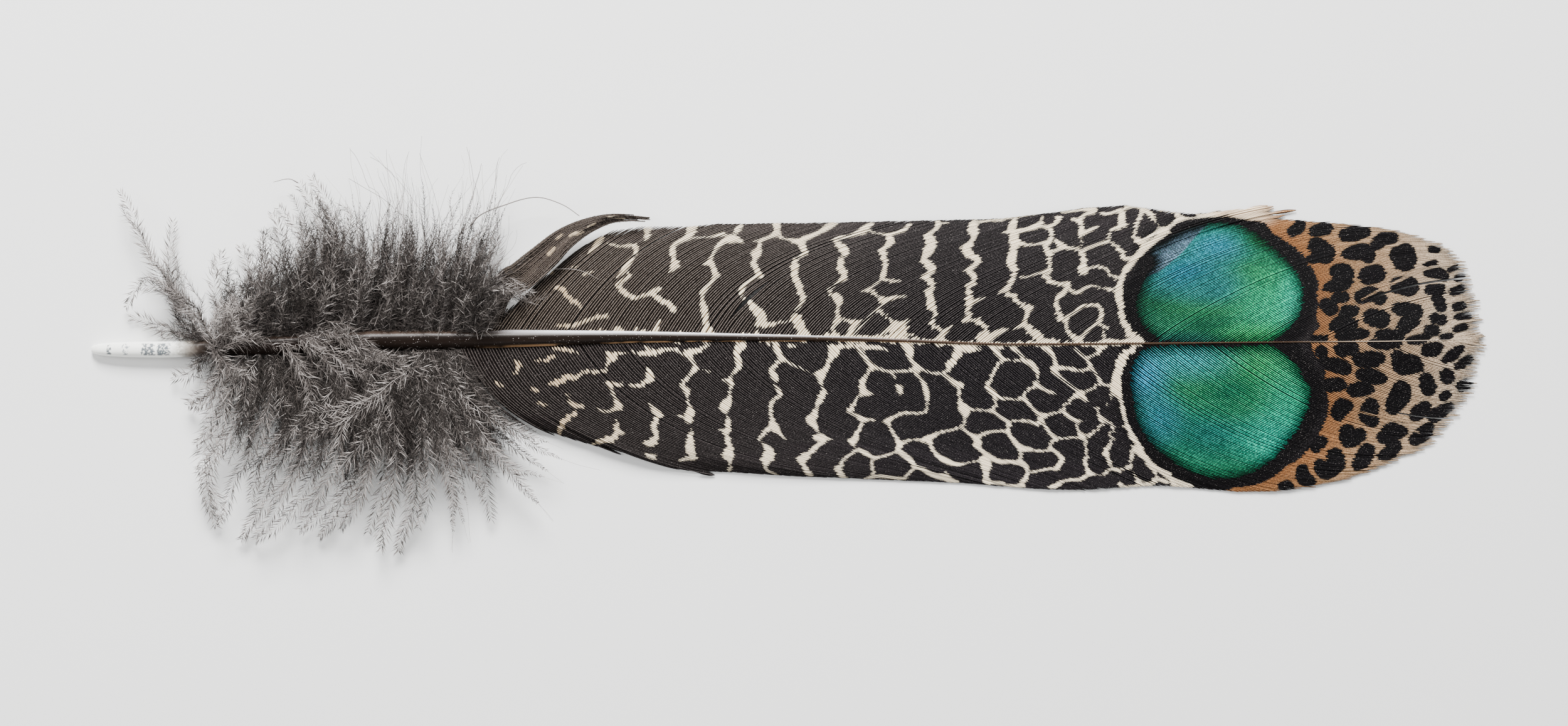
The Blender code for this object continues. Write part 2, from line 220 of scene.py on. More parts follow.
def needles(points, triangles, corner, share):
    """All the needles of one kind, from the points and triangles that each of them has."""
    m, n = len(points[0]), len(points)
    first = n * np.arange(m)[:, None]
    return {"verts": np.stack(points, axis=1).reshape(-1, 3),
            "faces": np.concatenate([first + t for t in triangles]).tolist(),
            "corner": np.tile(corner, m), "owner": np.repeat(np.arange(m), n),
            "share": np.tile(share, m), "side": np.full(len(triangles) * m, 4)}


def spikes(base, tip, radius):
    """Closed three-sided spikes from base to tip."""
    points = three_round(base, unit(tip - base), radius) + [tip]
    return needles(points, ((0, 1, 2), (3, 1, 0), (3, 2, 1), (3, 0, 2)), (0, 1, 2, 0), (0, 0, 0, 1.0))


def spindles(base, tip, bend, radius):
    """Closed needles from base to tip, pushed out by bend at their widest place."""
    mid = 0.6 * base + 0.4 * tip + bend
    points = [base] + three_round(mid, unit(tip - base), radius) + [tip]
    triangles = ((0, 1, 2), (0, 2, 3), (0, 3, 1), (4, 2, 1), (4, 3, 2), (4, 1, 3))
    return needles(points, triangles, (0, 0, 1, 2, 0), (0, 0.4, 0.4, 0.4, 1.0))


def build(name, parts, values, material, flat_map):
    """One object from sets of rods or needles, with its values stored on its points."""
    verts = np.vstack([p["verts"] for p in parts])
    faces, start = [], 0
    for p in parts:
        faces += [[v + start for v in f] for f in p["faces"]] if start else p["faces"]
        start += len(p["verts"])
    mesh = bpy.data.meshes.new(name)
    mesh.from_pydata(verts.tolist(), [], faces)
    for key, data in values.items():
        stored = mesh.attributes.new(key, "FLOAT", "POINT")
        stored.data.foreach_set("value", np.asarray(data, np.float32))
    loops = np.empty(len(mesh.loops), int)
    mesh.loops.foreach_get("vertex_index", loops)
    size = np.empty(len(mesh.polygons), int)
    mesh.polygons.foreach_get("loop_total", size)
    side = np.repeat(np.concatenate([p["side"] for p in parts]), size)
    uv = flat_map(loops, side)
    mesh.uv_layers.new(name="OFBake").data.foreach_set("uv", np.clip(uv, 0, 1).ravel())
    mesh.materials.append(material)
    obj = bpy.data.objects.new(name, mesh)
    bpy.context.scene.collection.objects.link(obj)
    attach(obj, "root")
    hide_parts("feather")
    bm = bmesh.new()
    bm.from_mesh(mesh)
    volume = 1e9 * bm.calc_volume(signed=True)
    bm.free()
    print(f"{name}: {sum(len(f) - 2 for f in faces)} triangles, {volume:.1f} mm3")
    return obj


def barb_rows(swept, rows, longest):
    """Map with one row per barb, as if the vane were combed out straight."""
    up = np.array((0.03, 0.81, 0.42))
    below = np.array((0.97, 0.86, 0.9))

    def flat_map(loops, side):
        corner = swept["corner"][loops]
        v = np.where(side == 0, below[corner], up[corner])
        return np.column_stack([swept["run"][loops] / longest, (swept["owner"][loops] + v) / rows])
    return flat_map


# %% [markdown]
# Each piece's signed volume is printed.  It is above zero where its faces point outwards.

# %% [markdown]
# ## Markings
# The pattern is read off in a dozen enlarged windows.  Each row of text is one mark: triples of x, y
# and half-width in the window's own units.  Pale rows are the cream lines of the net, dark rows
# the spots.  Pigment stops barb by barb, so each barb later reads the pattern a little further in
# or out than its neighbour, and the borders come out finely toothed.

# %% Pattern tables
PALE = {
    # window origin on the grid and its enlargement
    (780, 330, 5.227): """
        560,1000,12 700,985,18 870,925,16 985,905,20
        550,675,16 620,690,24 650,750,20 700,790,24 765,835,16
        700,505,10 735,500,6
        790,565,14 860,545,10
        520,555,12 540,548,10
        935,265,22 905,300,28 865,350,18 830,392,8
        980,305,6 1040,320,12 1110,335,12 1180,325,18 1215,350,28 1225,385,20
        1200,430,18 1150,490,28 1110,550,18 1075,580,8
        1160,545,12 1170,575,16 1110,620,18 1070,640,12
        1065,645,12 1110,690,28 1160,730,24 1225,755,20 1300,735,12 1360,710,22 1420,680,22
        1360,715,22 1420,770,26 1480,800,26 1540,850,30
        1320,175,34 1310,215,26 1310,250,24 1290,285,8""",
    (1050, 330, 5.227): """
        285,165,45 265,225,36 240,258,26 175,290,18 130,325,20 122,380,30 130,430,18 140,480,36 90,540,8
        140,482,20 186,495,10
        240,260,12 330,255,6 430,250,7 500,236,14 548,228,18 560,262,10
        690,160,20 660,188,24 645,218,16
        706,300,8 650,270,30 600,268,38 560,280,26 520,310,20 480,350,16 460,385,12 440,430,18 425,470,32
        425,472,16 365,478,5
        430,470,30 460,510,24 482,555,28 500,588,8
        480,570,20 430,640,14 385,690,22 355,730,22
        360,740,16 378,830,28 385,900,30 392,960,28 402,1010,34 410,1055,60
        985,150,34 988,190,28 975,225,26 910,258,14 850,285,18 845,330,20 830,370,26 808,400,42 800,440,20
        850,285,10 780,290,4
        800,440,18 795,480,26 815,530,26 842,570,28 868,588,8
        830,575,18 770,612,12 712,662,18 690,710,26 690,745,12
        735,770,18 790,830,34 845,895,44 855,945,42 820,990,20
        850,970,30 920,975,26 1000,965,12 1062,955,6
        985,220,22 1040,260,12 1100,280,14 1165,292,24
        1480,125,18 1400,175,26 1340,210,18 1270,245,20 1200,275,26 1185,310,34 1205,350,28 1228,385,20
        1228,385,18 1180,415,14 1155,432,4
        1135,450,24 1135,500,36 1135,560,30 1150,620,30 1180,690,32 1205,760,22 1170,830,14 1130,870,5
        1145,890,10 1150,930,44 1172,980,44 1200,1040,40 1212,1070,60
        1145,930,16 1086,946,8""",
    (1300, 300, 5.227): """
        470,298,14 430,320,24 395,355,34 340,380,20 270,405,12 200,415,16 130,440,5
        160,440,16 200,480,28 245,522,38 245,560,14 232,585,8
        205,600,24 210,650,34 230,700,32 240,742,32 205,775,12 155,797,5
        155,820,6 112,850,14 130,882,16 190,925,40 200,970,22 190,1010,16 185,1060,14 190,1095,24
        190,1095,30 155,1135,22 140,1182,8
        200,1082,12 260,1100,14 330,1112,16 390,1100,6
        345,1112,28 310,1160,24 290,1210,24 284,1255,44
        590,950,8 520,1010,8 450,1070,8 380,1150,7 315,1235,8
        430,345,14 480,370,6 540,382,6 600,388,12
        790,300,12 750,340,18 700,365,12 640,385,14 615,405,26 622,450,34 585,490,20 552,528,26
        560,530,30 572,580,28 580,620,22 574,680,22 565,740,30
        560,752,14 620,775,14 715,772,6
        540,770,8 490,810,8 432,850,16
        400,852,6 480,870,18 520,900,12 552,922,16
        560,930,32 620,920,20 680,910,14 765,903,4
        520,1020,22 560,1050,14 600,1080,10 640,1112,16 672,1142,44
        782,1088,6 735,1128,22 680,1150,40
        650,1160,36 590,1192,16 530,1232,12
        700,1180,18 740,1210,12 800,1240,14 860,1262,18
        1025,290,24 1010,330,18 970,370,18 930,402,24 960,440,46 970,480,32 940,520,46 920,560,32 \
            912,610,32 950,650,34 985,672,28 950,710,20 905,745,24
        905,745,16 950,780,30 972,830,20 962,850,18
        940,870,36 960,920,30 962,980,40 990,1030,16 988,1070,14
        985,1085,20 965,1120,20 1000,1155,20 1050,1182,14 1085,1192,20
        1132,1150,5 1085,1190,18 1052,1230,24 1044,1275,50
        1325,275,18 1312,345,46 1318,400,26 1300,450,22 1262,492,34
        1205,502,6 1260,530,34 1310,570,34 1350,612,26 1315,650,20 1270,685,26
        1240,685,8 1310,722,26 1320,760,20 1298,792,14
        1320,800,18 1262,815,18
        1270,830,16 1268,880,26 1282,930,36 1278,980,26 1258,1030,16
        1290,952,24 1360,930,12 1415,912,4
        1280,1058,24 1262,1090,26 1208,1112,6
        1290,1100,18 1350,1120,12 1402,1152,16 1412,1190,14 1378,1240,30
        1365,1242,30 1440,1252,32 1500,1212,24 1568,1182,20
        1030,291,6 1110,291,5
        1300,281,8 1400,274,8 1568,267,9""",
    (1560, 320, 5.227): """
        278,175,14 268,225,28 290,280,38 300,335,44 286,400,32 278,460,40 268,520,38 285,575,32 \
            290,625,22 270,680,22 230,732,22 165,772,7
        270,265,22 212,262,6
        230,780,18 290,800,24 330,850,18 380,880,20 425,892,30
        410,900,30 398,960,18 382,1020,24 345,1042,14 296,1066,5
        405,1050,30 450,1092,34 500,1132,40 520,1165,30
        0,1000,26 42,1045,20 80,1115,24
        60,1140,26 150,1112,18 200,1082,14 255,1068,4
        0,180,8 100,165,8 200,150,9 300,132,14 400,116,12 520,102,8
        300,160,20 290,200,30 285,250,28
        330,255,20 400,240,16 480,215,24 520,190,14 530,140,14
        520,215,10 590,215,16 640,190,16 665,150,26 680,135,12
        590,230,20 602,290,18 590,340,20 560,372,16
        340,360,20 420,372,10 500,360,8 560,352,18
        640,330,12 690,380,30 740,398,12 820,402,12
        560,390,14 600,425,14 650,412,14 690,385,24
        545,370,14 575,440,28 588,500,18 590,560,16 588,600,18
        575,585,20 520,602,12 460,616,8 400,636,6 340,642,10
        540,620,20 580,662,22 640,690,18 700,700,14 745,692,24
        820,400,10 852,440,20 872,500,26 862,560,34 840,602,18
        880,590,30 930,558,8 1000,552,12 1060,572,14 1095,615,12 1145,642,16
        855,430,20 900,400,14 960,376,12 1020,356,12 1085,338,14
        735,720,20 770,752,14 830,762,16 880,730,12 940,708,12 1000,720,6 1110,745,16
        740,720,20 700,772,22 660,805,22 650,860,20 662,920,22 690,975,22
        650,985,12 720,992,22 750,960,14 800,930,12 860,880,14 920,872,14 985,870,16
        725,1000,16 730,1060,16 765,1112,20 810,1155,30
        985,870,16 1022,912,18 1020,960,20 1000,1000,16 960,1040,12 900,1092,14 850,1150,20
        1000,1010,14 1065,1062,16
        1568,262,22 1480,318,26 1400,380,28 1330,450,28 1262,530,28 1212,600,24 1180,680,24 \
            1162,770,36 1178,860,28 1190,940,26 1202,1000,26 1242,1070,30 1282,1130,36 1340,1172,40
        1040,1165,16 1200,1172,18 1330,1172,36
        1040,1100,14 1052,1152,14
        690,97,8 800,84,9 900,74,14 965,78,30
        780,150,10 830,170,24 852,210,18 855,262,26 842,305,12
        960,95,18 900,110,14 850,148,16
        850,280,18 900,260,16 960,230,12 1002,214,5
        850,310,6 850,385,8
        1020,108,12 1080,112,12 1140,92,12 1190,95,26 1190,170,30 1170,222,22 1120,236,12 \
            1090,262,14 1085,340,10
        1190,180,22 1225,212,12
        1100,350,10 1150,390,16 1190,430,20 1212,480,22 1260,482,14 1325,460,22
        1225,58,18 1300,45,16 1370,62,22 1420,110,24 1460,150,18 1500,190,16
        1370,70,20 1342,130,14 1320,182,20 1308,240,12 1288,302,14
        1285,310,12 1340,342,30 1372,362,28
        1495,180,14 1520,245,26
        1380,332,16 1440,292,14 1490,250,16""",
    (730, 540, 4.48): """
        680,76,10 760,76,16 860,95,8
        560,155,8 620,150,12 680,135,16 702,118,8
        430,165,14 442,205,20 410,242,12
        285,320,12 322,345,12
        520,350,6 560,370,12 592,382,8
        575,455,8 622,472,14
        655,322,8 710,312,26 740,295,22 800,275,22 850,285,16 882,250,14 930,230,14 990,236,12 1050,226,14
        1050,222,12 1075,170,14 1102,130,34 1065,98,12
        1100,122,24 1170,102,10 1205,92,6
        1250,90,5 1300,110,14 1370,100,24 1440,96,16 1470,82,14 1568,72,12
        1345,55,10 1370,95,20
        1075,318,18 1130,326,18 1182,320,8
        1220,325,5 1280,336,16 1340,310,18 1372,275,30 1362,240,26 1348,218,10
        1092,330,18 1102,370,12 1112,400,9 1132,440,14 1148,478,30
        1162,490,22 1110,510,12 1060,522,10 1002,502,4
        790,440,8 840,475,20 905,482,10
        770,385,5 810,412,5
        842,530,18 800,560,18 762,590,22 742,630,20 732,670,16 706,697,6
        1370,468,8 1405,512,22 1445,540,20
        1440,540,16 1410,590,22 1400,630,20 1420,670,18 1420,710,20 1380,740,30 1335,740,10
        1140,580,8 1132,630,18 1152,660,20 1192,682,6
        1140,668,18 1110,710,26 1060,722,20 1000,736,16 965,756,8
        1350,832,12 1402,842,20""",
    (1050, 540, 5.227): """
        0,95,14 60,85,10 120,90,10 180,110,10 230,128,22
        230,115,28 300,102,28 360,76,18 420,50,12
        250,130,26 280,182,16 318,242,14
        300,250,28 265,300,16 222,350,20 190,380,14
        175,380,6 235,430,26 246,480,10 250,540,14 256,580,24 262,620,38 250,660,36 266,705,8
        240,650,20 155,638,5
        275,745,5 266,800,22 262,860,32 272,930,38 290,982,30
        280,985,22 220,1000,14 172,1014,6
        370,252,5 432,276,5
        700,48,34 662,95,36 650,140,26 665,190,30 670,228,24 645,265,20 608,302,10
        600,320,14 560,340,14 528,335,5
        590,345,28 606,390,16 590,440,12 585,500,22 562,550,46 540,580,30 575,612,12
        575,650,10 585,700,24 572,750,28 556,788,20
        560,760,20 502,755,5
        568,800,18 580,860,24 592,910,28 580,960,46 600,990,24 602,1040,12 592,1088,18
        560,965,30 528,965,6
        975,50,32 990,90,28 1010,140,24 1032,170,26
        1090,55,18 1150,62,8
        1030,172,20 1080,195,10 1140,225,6 1200,250,6 1245,278,4
        1010,180,18 960,230,20 925,270,14
        930,270,14 965,310,32 985,352,10
        965,385,5 1000,430,20 1012,462,20 970,500,16 935,550,20 930,600,16 940,650,16 945,700,30
        945,700,30 965,740,36 1000,772,18 1040,822,8 1062,838,4
        930,740,22 880,780,18 850,830,14 828,850,6
        865,870,8 905,910,24 920,952,46 905,990,44 845,1000,6
        890,1020,28 895,1070,12 920,1102,10 990,1128,5
        1420,58,14 1462,95,46 1450,140,34 1420,190,20 1402,230,24 1372,270,28
        1370,282,24 1285,290,8
        1350,300,46 1345,345,18 1362,400,12 1372,450,26 1345,500,30 1318,560,16
        1310,590,18 1292,640,34 1258,670,34 1300,720,26 1322,772,8
        1322,790,8 1370,830,30 1332,880,20 1290,920,22 1250,960,20 1200,992,36 1150,1002,8
        1380,832,20 1432,832,4
        1190,1010,28 1210,1060,18 1240,1110,22 1290,1142,6""",
    (1300, 540, 5.227): """
        110,70,10 200,66,20 260,64,16 330,62,16 400,58,20
        340,60,16 370,100,14 400,150,12 440,200,14 470,240,24
        400,78,18 480,72,20 560,80,14 600,98,5
        400,110,10 440,190,14 500,240,18 560,260,10 620,275,12 700,272,12 780,265,14 830,240,20
        745,50,30 790,100,40 790,160,22 830,220,18 860,262,20
        830,210,14 900,260,10 970,288,10 1060,290,12 1100,265,14
        1160,60,18 1185,110,36 1160,170,30 1120,220,34 1095,262,16
        1200,80,26 1260,88,30 1330,96,16 1385,90,8
        1060,290,14 1110,330,14 1160,370,22 1212,392,30
        1200,395,18 1200,450,16 1200,500,14 1205,545,24
        1232,580,46 1252,622,30 1245,660,14 1240,700,14 1216,730,14
        1250,590,30 1320,590,8 1400,600,8 1480,600,12
        1220,728,12 1150,752,10 1080,770,12 1010,790,14 950,820,26 895,842,24
        945,850,26 960,890,16 985,940,14 1040,990,22 1100,1020,22 1160,1042,16 1230,1042,10
        1230,1040,6 1300,1024,4 1350,1012,8
        900,840,16 820,838,6 760,850,12 720,872,14 690,892,20
        1225,745,12 1280,790,12 1330,822,26 1352,862,32
        1340,880,30 1382,930,14 1430,960,14 1515,1002,5
        1400,990,26 1430,1040,32 1430,1090,22 1422,1150,18 1440,1192,26
        1440,1192,12 1568,1202,12
        1340,830,20 1400,790,12 1470,772,10 1568,766,10
        470,240,24 430,290,14 400,340,24 390,390,28 398,440,36
        400,445,28 470,462,12
        380,452,16 340,500,12 312,550,18 288,592,26
        260,600,8 340,640,12 390,670,24 440,672,14 500,672,6
        388,682,18 370,740,16 342,790,20 322,840,32 300,862,18
        600,265,8 650,302,8 672,340,5
        672,392,10 702,415,28 710,465,10
        830,280,18 870,330,10 900,372,18 920,430,24 932,480,22 930,540,12 922,600,12
        920,605,12 850,620,12 780,618,12 720,622,14 660,642,14 600,680,22 560,682,8
        600,690,14 620,740,12 650,790,12 680,840,20 702,882,26
        690,890,20 692,930,22 740,970,22 790,1010,22 822,1062,20
        690,920,16 640,950,10 580,970,8 520,985,12 480,992,14
        350,915,12 410,950,18 480,990,12
        340,920,12 290,960,12 240,1000,12 212,1050,16 180,1080,24
        190,1080,26 210,1130,22 258,1158,6
        480,990,12 470,1040,12 480,1100,12 470,1142,14
        410,1162,6 520,1142,12 640,1156,12 745,1162,10
        822,1070,14 780,1120,12 742,1162,10
        820,1065,12 880,1080,16 950,1120,18 1020,1145,22 1080,1150,30 1130,1180,20 1192,1192,8
        1080,1108,8 1092,1150,20
        0,820,26 50,830,22 105,836,10
        280,845,14 312,882,14""",
    (1560, 540, 5.227): """
        100,62,14 150,110,24 192,172,16 160,230,16 120,290,16 90,350,16 68,402,22
        200,178,20 270,176,8 340,180,10 400,190,22 450,220,22 482,270,20 492,310,12 468,362,12
        285,75,24 340,120,12 372,172,18
        70,402,20 130,460,24 172,492,16
        172,495,12 250,502,10 320,502,10 370,482,16 392,450,12 430,420,14 480,390,16
        135,480,16 140,540,14 118,602,16
        480,385,22 540,420,12 590,440,18 630,458,5
        380,500,20 430,560,14 480,612,16 530,640,20 600,626,12 670,612,10 710,582,16
        700,600,14 720,550,12 760,510,14 810,470,22 850,462,36
        525,68,14 590,100,24 620,150,14 640,215,20
        620,245,26 720,240,16 800,256,14 860,266,12 920,240,18
        620,262,24 670,310,14 730,362,10 790,412,10 842,450,18
        800,78,10 850,130,10 900,172,12 930,222,18
        900,160,14 960,132,12 1000,90,25 1050,68,14
        930,232,14 980,300,10 1012,362,18
        1000,372,12 940,412,12 880,442,12 850,470,30
        1010,370,14 1060,386,12 1112,382,20
        862,480,24 902,525,8
        1110,400,18 1105,460,14 1085,520,10 1060,556,12
        1060,552,8 1000,578,12 960,570,6
        1000,580,12 1000,640,16 1060,682,20 1112,702,16
        1010,662,18 1020,700,14 1000,742,12 960,780,12 910,812,16
        850,690,12 825,680,10 820,720,12 830,770,12 862,812,28
        720,620,18 770,662,14 842,692,14
        530,640,20 508,680,20 490,712,20
        480,712,14 420,690,12 350,680,10 280,690,12 250,712,14
        120,602,14 180,650,12 240,690,14 262,722,18
        0,590,8 60,600,8 120,606,12
        535,690,16 560,740,12 600,790,14 642,832,20
        250,722,16 242,770,18 270,820,16 320,880,22 360,912,26 430,922,18
        240,766,14 170,770,8 90,780,10 20,800,16
        630,832,18 690,830,10 760,824,8 850,816,16
        620,842,16 602,890,14 590,920,14 540,932,8 470,932,12
        610,922,14 650,950,16 692,992,20 682,1032,22 650,1082,20
        650,1082,16 580,1082,10 510,1096,10 450,1112,10
        345,930,16 352,970,14 340,1012,14
        340,1020,24 400,1070,18 402,1120,16 382,1170,20 360,1202,20
        265,1022,16 340,1032,20
        0,905,14 60,960,20 120,1000,20 190,1022,18 270,1022,14
        30,1000,30 50,1060,30 60,1120,24 50,1182,18
        50,1190,10 150,1202,8 260,1222,10 370,1222,18
        880,832,16 892,900,10 900,960,12 892,1020,18 902,1080,16 920,1122,24
        930,1122,20 1000,1146,10 1060,1122,12 1102,1082,14
        900,1142,16 840,1172,14 770,1172,10 700,1190,14 640,1222,20 590,1234,12
        1110,702,18 1112,760,12 1082,802,8
        1100,812,8 1140,850,6 1182,872,10
        1112,842,10 1092,890,16 1052,940,24 1080,1000,16 1102,1052,16
        1110,1082,14 1160,1092,10 1210,1086,12 1252,1062,14 1282,1002,16
        1282,1000,16 1282,940,12 1300,892,14
        1182,1100,10 1192,1160,12 1182,1212,12
        1300,78,24 1220,130,32 1180,200,44 1150,280,34 1145,380,44 1160,470,30 1190,570,20 \
            1212,660,16 1250,760,20 1312,860,22 1370,960,20 1440,1040,18 1510,1092,16 1600,1130,14
        1300,1160,14 1420,1180,14 1500,1170,16 1568,1195,14""",
    (1850, 330, 4.48): """
        0,190,30 40,150,24 110,100,20 200,72,18 300,62,16 420,50,22 540,30,22
        130,60,20 60,20,14 0,25,12
        95,130,10 100,60,14""",
    (1780, 540, 4.48): """
        130,790,18 200,850,16 280,920,14 360,980,14 440,1020,14 540,1052,10
        60,740,14 110,790,12 100,860,10 100,920,14
        0,640,14 60,640,16 110,720,12
        210,900,14 262,930,14 280,980,10 270,1030,14 180,1040,14 140,1000,12 120,930,10
        0,930,12 20,950,12 20,1030,12 60,1060,12 200,1050,12
        390,1010,14 420,1050,16 520,1060,12""",
}
DARK = {
    (1560, 540, 5.227): """
        1122,535,28
        1050,600,30 1105,645,28
        1158,690,26
        1180,790,40
        1192,900,60 1180,1000,50
        1320,1040,28 1350,1090,40 1400,1140,34
        1205,1150,26 1250,1160,34
        1130,1155,34
        970,1180,26 1050,1180,22""",
    (1850, 330, 4.48): """
        15,95,32 60,75,26
        170,45,8 230,50,8""",
    (2050, 330, 4.752): """
        48,188,26 100,150,30 105,125,22
        215,185,28 300,160,38
        445,215,32 520,200,46 600,185,28
        690,280,34 730,245,36 810,235,28
        845,360,48 900,400,74 905,345,56
        1100,320,18 1145,325,18
        230,295,52 290,350,66
        175,396,14 250,385,26
        455,357,22 530,345,44 595,330,38 620,372,40
        1075,445,20 1130,425,18
        385,490,42 440,500,54 420,570,54 310,612,16
        620,520,56 685,505,54
        1085,490,32 1150,500,40 1205,528,26
        570,682,38 640,660,44 705,690,38
        850,595,50 928,600,62
        380,686,24 440,683,26
        300,738,34 335,768,42
        450,778,22 505,788,28
        430,820,22 440,865,46 375,902,36 500,885,32
        650,835,52 715,850,56
        850,770,34 930,785,46 980,795,44
        945,850,56 895,905,42
        1085,620,28 1150,630,44 1172,612,26
        1150,695,38 1175,755,36
        1125,842,30 1180,856,34
        1085,930,30 1130,936,32
        400,982,16 480,970,26 560,960,26 605,958,12
        710,967,22 790,970,32 865,986,16
        940,1012,14 1020,1000,26 1080,985,10
        1185,988,18 1240,976,18
        1270,642,24 1330,620,30
        1290,756,26 1335,750,26
        1300,832,20 1385,820,22
        1290,925,20 1355,905,22
        1300,540,18 1345,520,14
        190,998,12 295,995,12
        1240,480,12 1290,455,14""",
    (2050, 540, 4.752): """
        425,78,46 490,70,44
        265,100,34
        650,32,14 740,44,28 850,40,14
        940,10,10 1030,8,12
        560,160,40 640,155,48 705,145,28
        850,140,38 872,205,52 950,190,58 1012,215,20
        1075,90,38 1130,76,42 1165,60,22
        1210,160,22 1268,120,34 1322,75,24
        1300,210,20 1350,180,30 1395,150,22
        270,185,26 380,200,42 440,222,38
        560,270,26 640,285,46 725,300,24
        1222,285,50
        330,352,38 402,345,36
        510,390,36 570,380,44 630,385,20
        1060,312,42 1080,375,46
        1330,362,38 1375,342,34
        872,390,58 850,450,66 808,520,40
        420,512,48 388,572,36 460,508,30
        642,510,46 622,572,58 655,620,34
        1050,520,36 1000,560,40 970,590,20
        1190,440,24 1225,420,22
        1120,590,34 1180,550,40 1242,515,26
        460,700,42 470,765,46 550,730,42
        740,742,40 810,705,60 872,692,36
        980,760,36 1040,720,44 1085,670,28
        220,820,28 262,780,32
        370,890,50 380,945,50 300,1000,50 252,960,34
        612,850,46 582,910,48 532,960,24
        822,812,40 780,860,40 722,890,16
        120,990,28 130,1050,42 182,1078,26
        0,1112,28""",
    (1780, 540, 4.48): """
        1180,1050,16 1230,1060,22""",
}
# Borders of the eye spots and of the pale ground beyond them, each in its window
LEFT_EYE = ((1850, 330, 4.48), """-40,265 0,262 100,195 200,150 330,115 450,112 560,130 650,170 740,230
    820,310 900,385 960,455 1000,530 1018,620 1010,700 985,780 930,852 860,915 760,960 500,968 250,968
    60,960 10,955 -40,920 -90,880 -130,835 -165,760 -178,690 -160,610 -125,530 -75,450 -45,385 -80,330""")
LEFT_FOLD = ((1800, 340, 5.227), """90,578 160,520 240,490 330,420 440,325 520,230 600,140 650,95 600,60
    500,60 350,120 200,250 80,420 30,560""")
RIGHT_EYE = ((1780, 540, 4.48), """200,70 150,120 110,200 95,280 100,360 115,450 125,530 150,610 200,690
    260,760 340,830 420,890 520,950 640,985 760,995 880,985 960,955 1060,900 1150,820 1220,740 1280,660
    1330,570 1365,480 1388,400 1375,340 1330,270 1290,200 1240,140 1180,85 1100,48 950,45 800,55 700,50
    500,46 300,52""")
LEFT_TIP = ((1850, 330, 4.48), """480,68 560,84 640,96 740,112 800,185 880,236 1000,325 1050,400 1100,475
    1126,560 1115,640 1125,700 1112,780 1130,850 1090,905 1085,940 1080,990""")
RIGHT_TIP = ((1780, 540, 4.48), """760,1100 850,1062 960,1050 1050,1020 1140,968 1220,902 1310,850 1372,780
    1432,700 1480,600 1512,480 1500,400 1478,300 1492,225 1425,130 1392,72 1400,0""")

# %% [markdown]
# ## Reading the pattern
# `depth_in_marks` is the distance from a point to the border of the nearest mark, above zero
# inside it.  With the border kept as a distance, the paint nodes can draw it sharp however far
# apart the points of a barb are.

# %% Distances to the marks


def read_rows(window, text, width=True):
    """Marks of one window in metres: x, y and half-width."""
    ox, oy, zoom = window
    marks = []
    for row in text.strip().splitlines():
        pts = np.array([[float(v) for v in t.split(",")] for t in row.split()])
        x, y = place(ox + pts[:, 0] / zoom, oy + pts[:, 1] / zoom)
        cols = [x, y] + ([pts[:, 2] / zoom / PER_METRE] if width else [])
        marks.append(np.column_stack(cols))
    return marks


def read_border(window, text):
    return smooth(read_rows(window, " ".join(text.split()), False)[0], 240)


# How far from its border a mark is still measured, in metres
MARK_REACH = 0.002


def depth_in_marks(xy, marks, far=MARK_REACH):
    """Distance to the border of the nearest mark, above zero inside."""
    best = np.full(len(xy), -far)
    for mark in marks:
        run = smooth(mark, 5 * len(mark)) if len(mark) > 2 else mark
        if len(run) == 1:
            run = np.vstack([run, run + [1e-5, 0, 0]])
        for a, b in zip(run, run[1:]):
            pad = far + max(a[2], b[2])
            lo = np.minimum(a[:2], b[:2]) - pad
            hi = np.maximum(a[:2], b[:2]) + pad
            near = np.nonzero(((xy > lo) & (xy < hi)).all(axis=1))[0]
            if len(near) == 0:
                continue
            p = xy[near] - a[:2]
            ab = b[:2] - a[:2]
            t = np.clip(p @ ab / max(ab @ ab, 1e-18), 0.0, 1.0)
            gap = np.linalg.norm(p - t[:, None] * ab, axis=1)
            best[near] = np.maximum(best[near], a[2] + (b[2] - a[2]) * t - gap)
    return best


def depth_in_border(xy, border):
    """Distance to a closed border, above zero inside."""
    inside = np.zeros(len(xy), bool)
    gap = np.full(len(xy), 1.0)
    for a, b in zip(border, np.roll(border, -1, axis=0)):
        cross = (a[1] > xy[:, 1]) != (b[1] > xy[:, 1])
        at = a[0] + (xy[:, 1] - a[1]) * (b[0] - a[0]) / ((b[1] - a[1]) or 1e-12)
        inside ^= cross & (xy[:, 0] < at)
        ab = b - a
        p = xy - a
        t = np.clip(p @ ab / max(ab @ ab, 1e-18), 0.0, 1.0)
        gap = np.minimum(gap, np.linalg.norm(p - t[:, None] * ab, axis=1))
    return np.where(inside, gap, -gap)


def beyond(line):
    """Closed border round everything on the tip side of a line across the vane."""
    far = math.copysign(0.1, line[0, 1] - line[-1, 1])
    return np.vstack([[line[0, 0], far], line, [line[-1, 0], -far], [0.3, -far], [0.3, far]])


pale_marks = [m for w, text in PALE.items() for m in read_rows(w, text)]
dark_marks = [m for w, text in DARK.items() for m in read_rows(w, text)]
print("pale lines:", len(pale_marks), "dark spots:", len(dark_marks))


# Pale edges of barbs where the tip of the vane has split: grid x, y and half-width
pale_splits = read_rows((0, 0, 1.0), """
    2170,478,1 2225,450,2 2271,429,2 2303,423,1
    2160,655,1 2215,668,1 2262,690,1""")
# How much wider the dark spots are drawn than they were read, by the depth in the pale tip
SPREAD_DEPTHS = (0.002, 0.014, 0.018)
SPREADS = (0.00036, 0.00036, 0.0002)


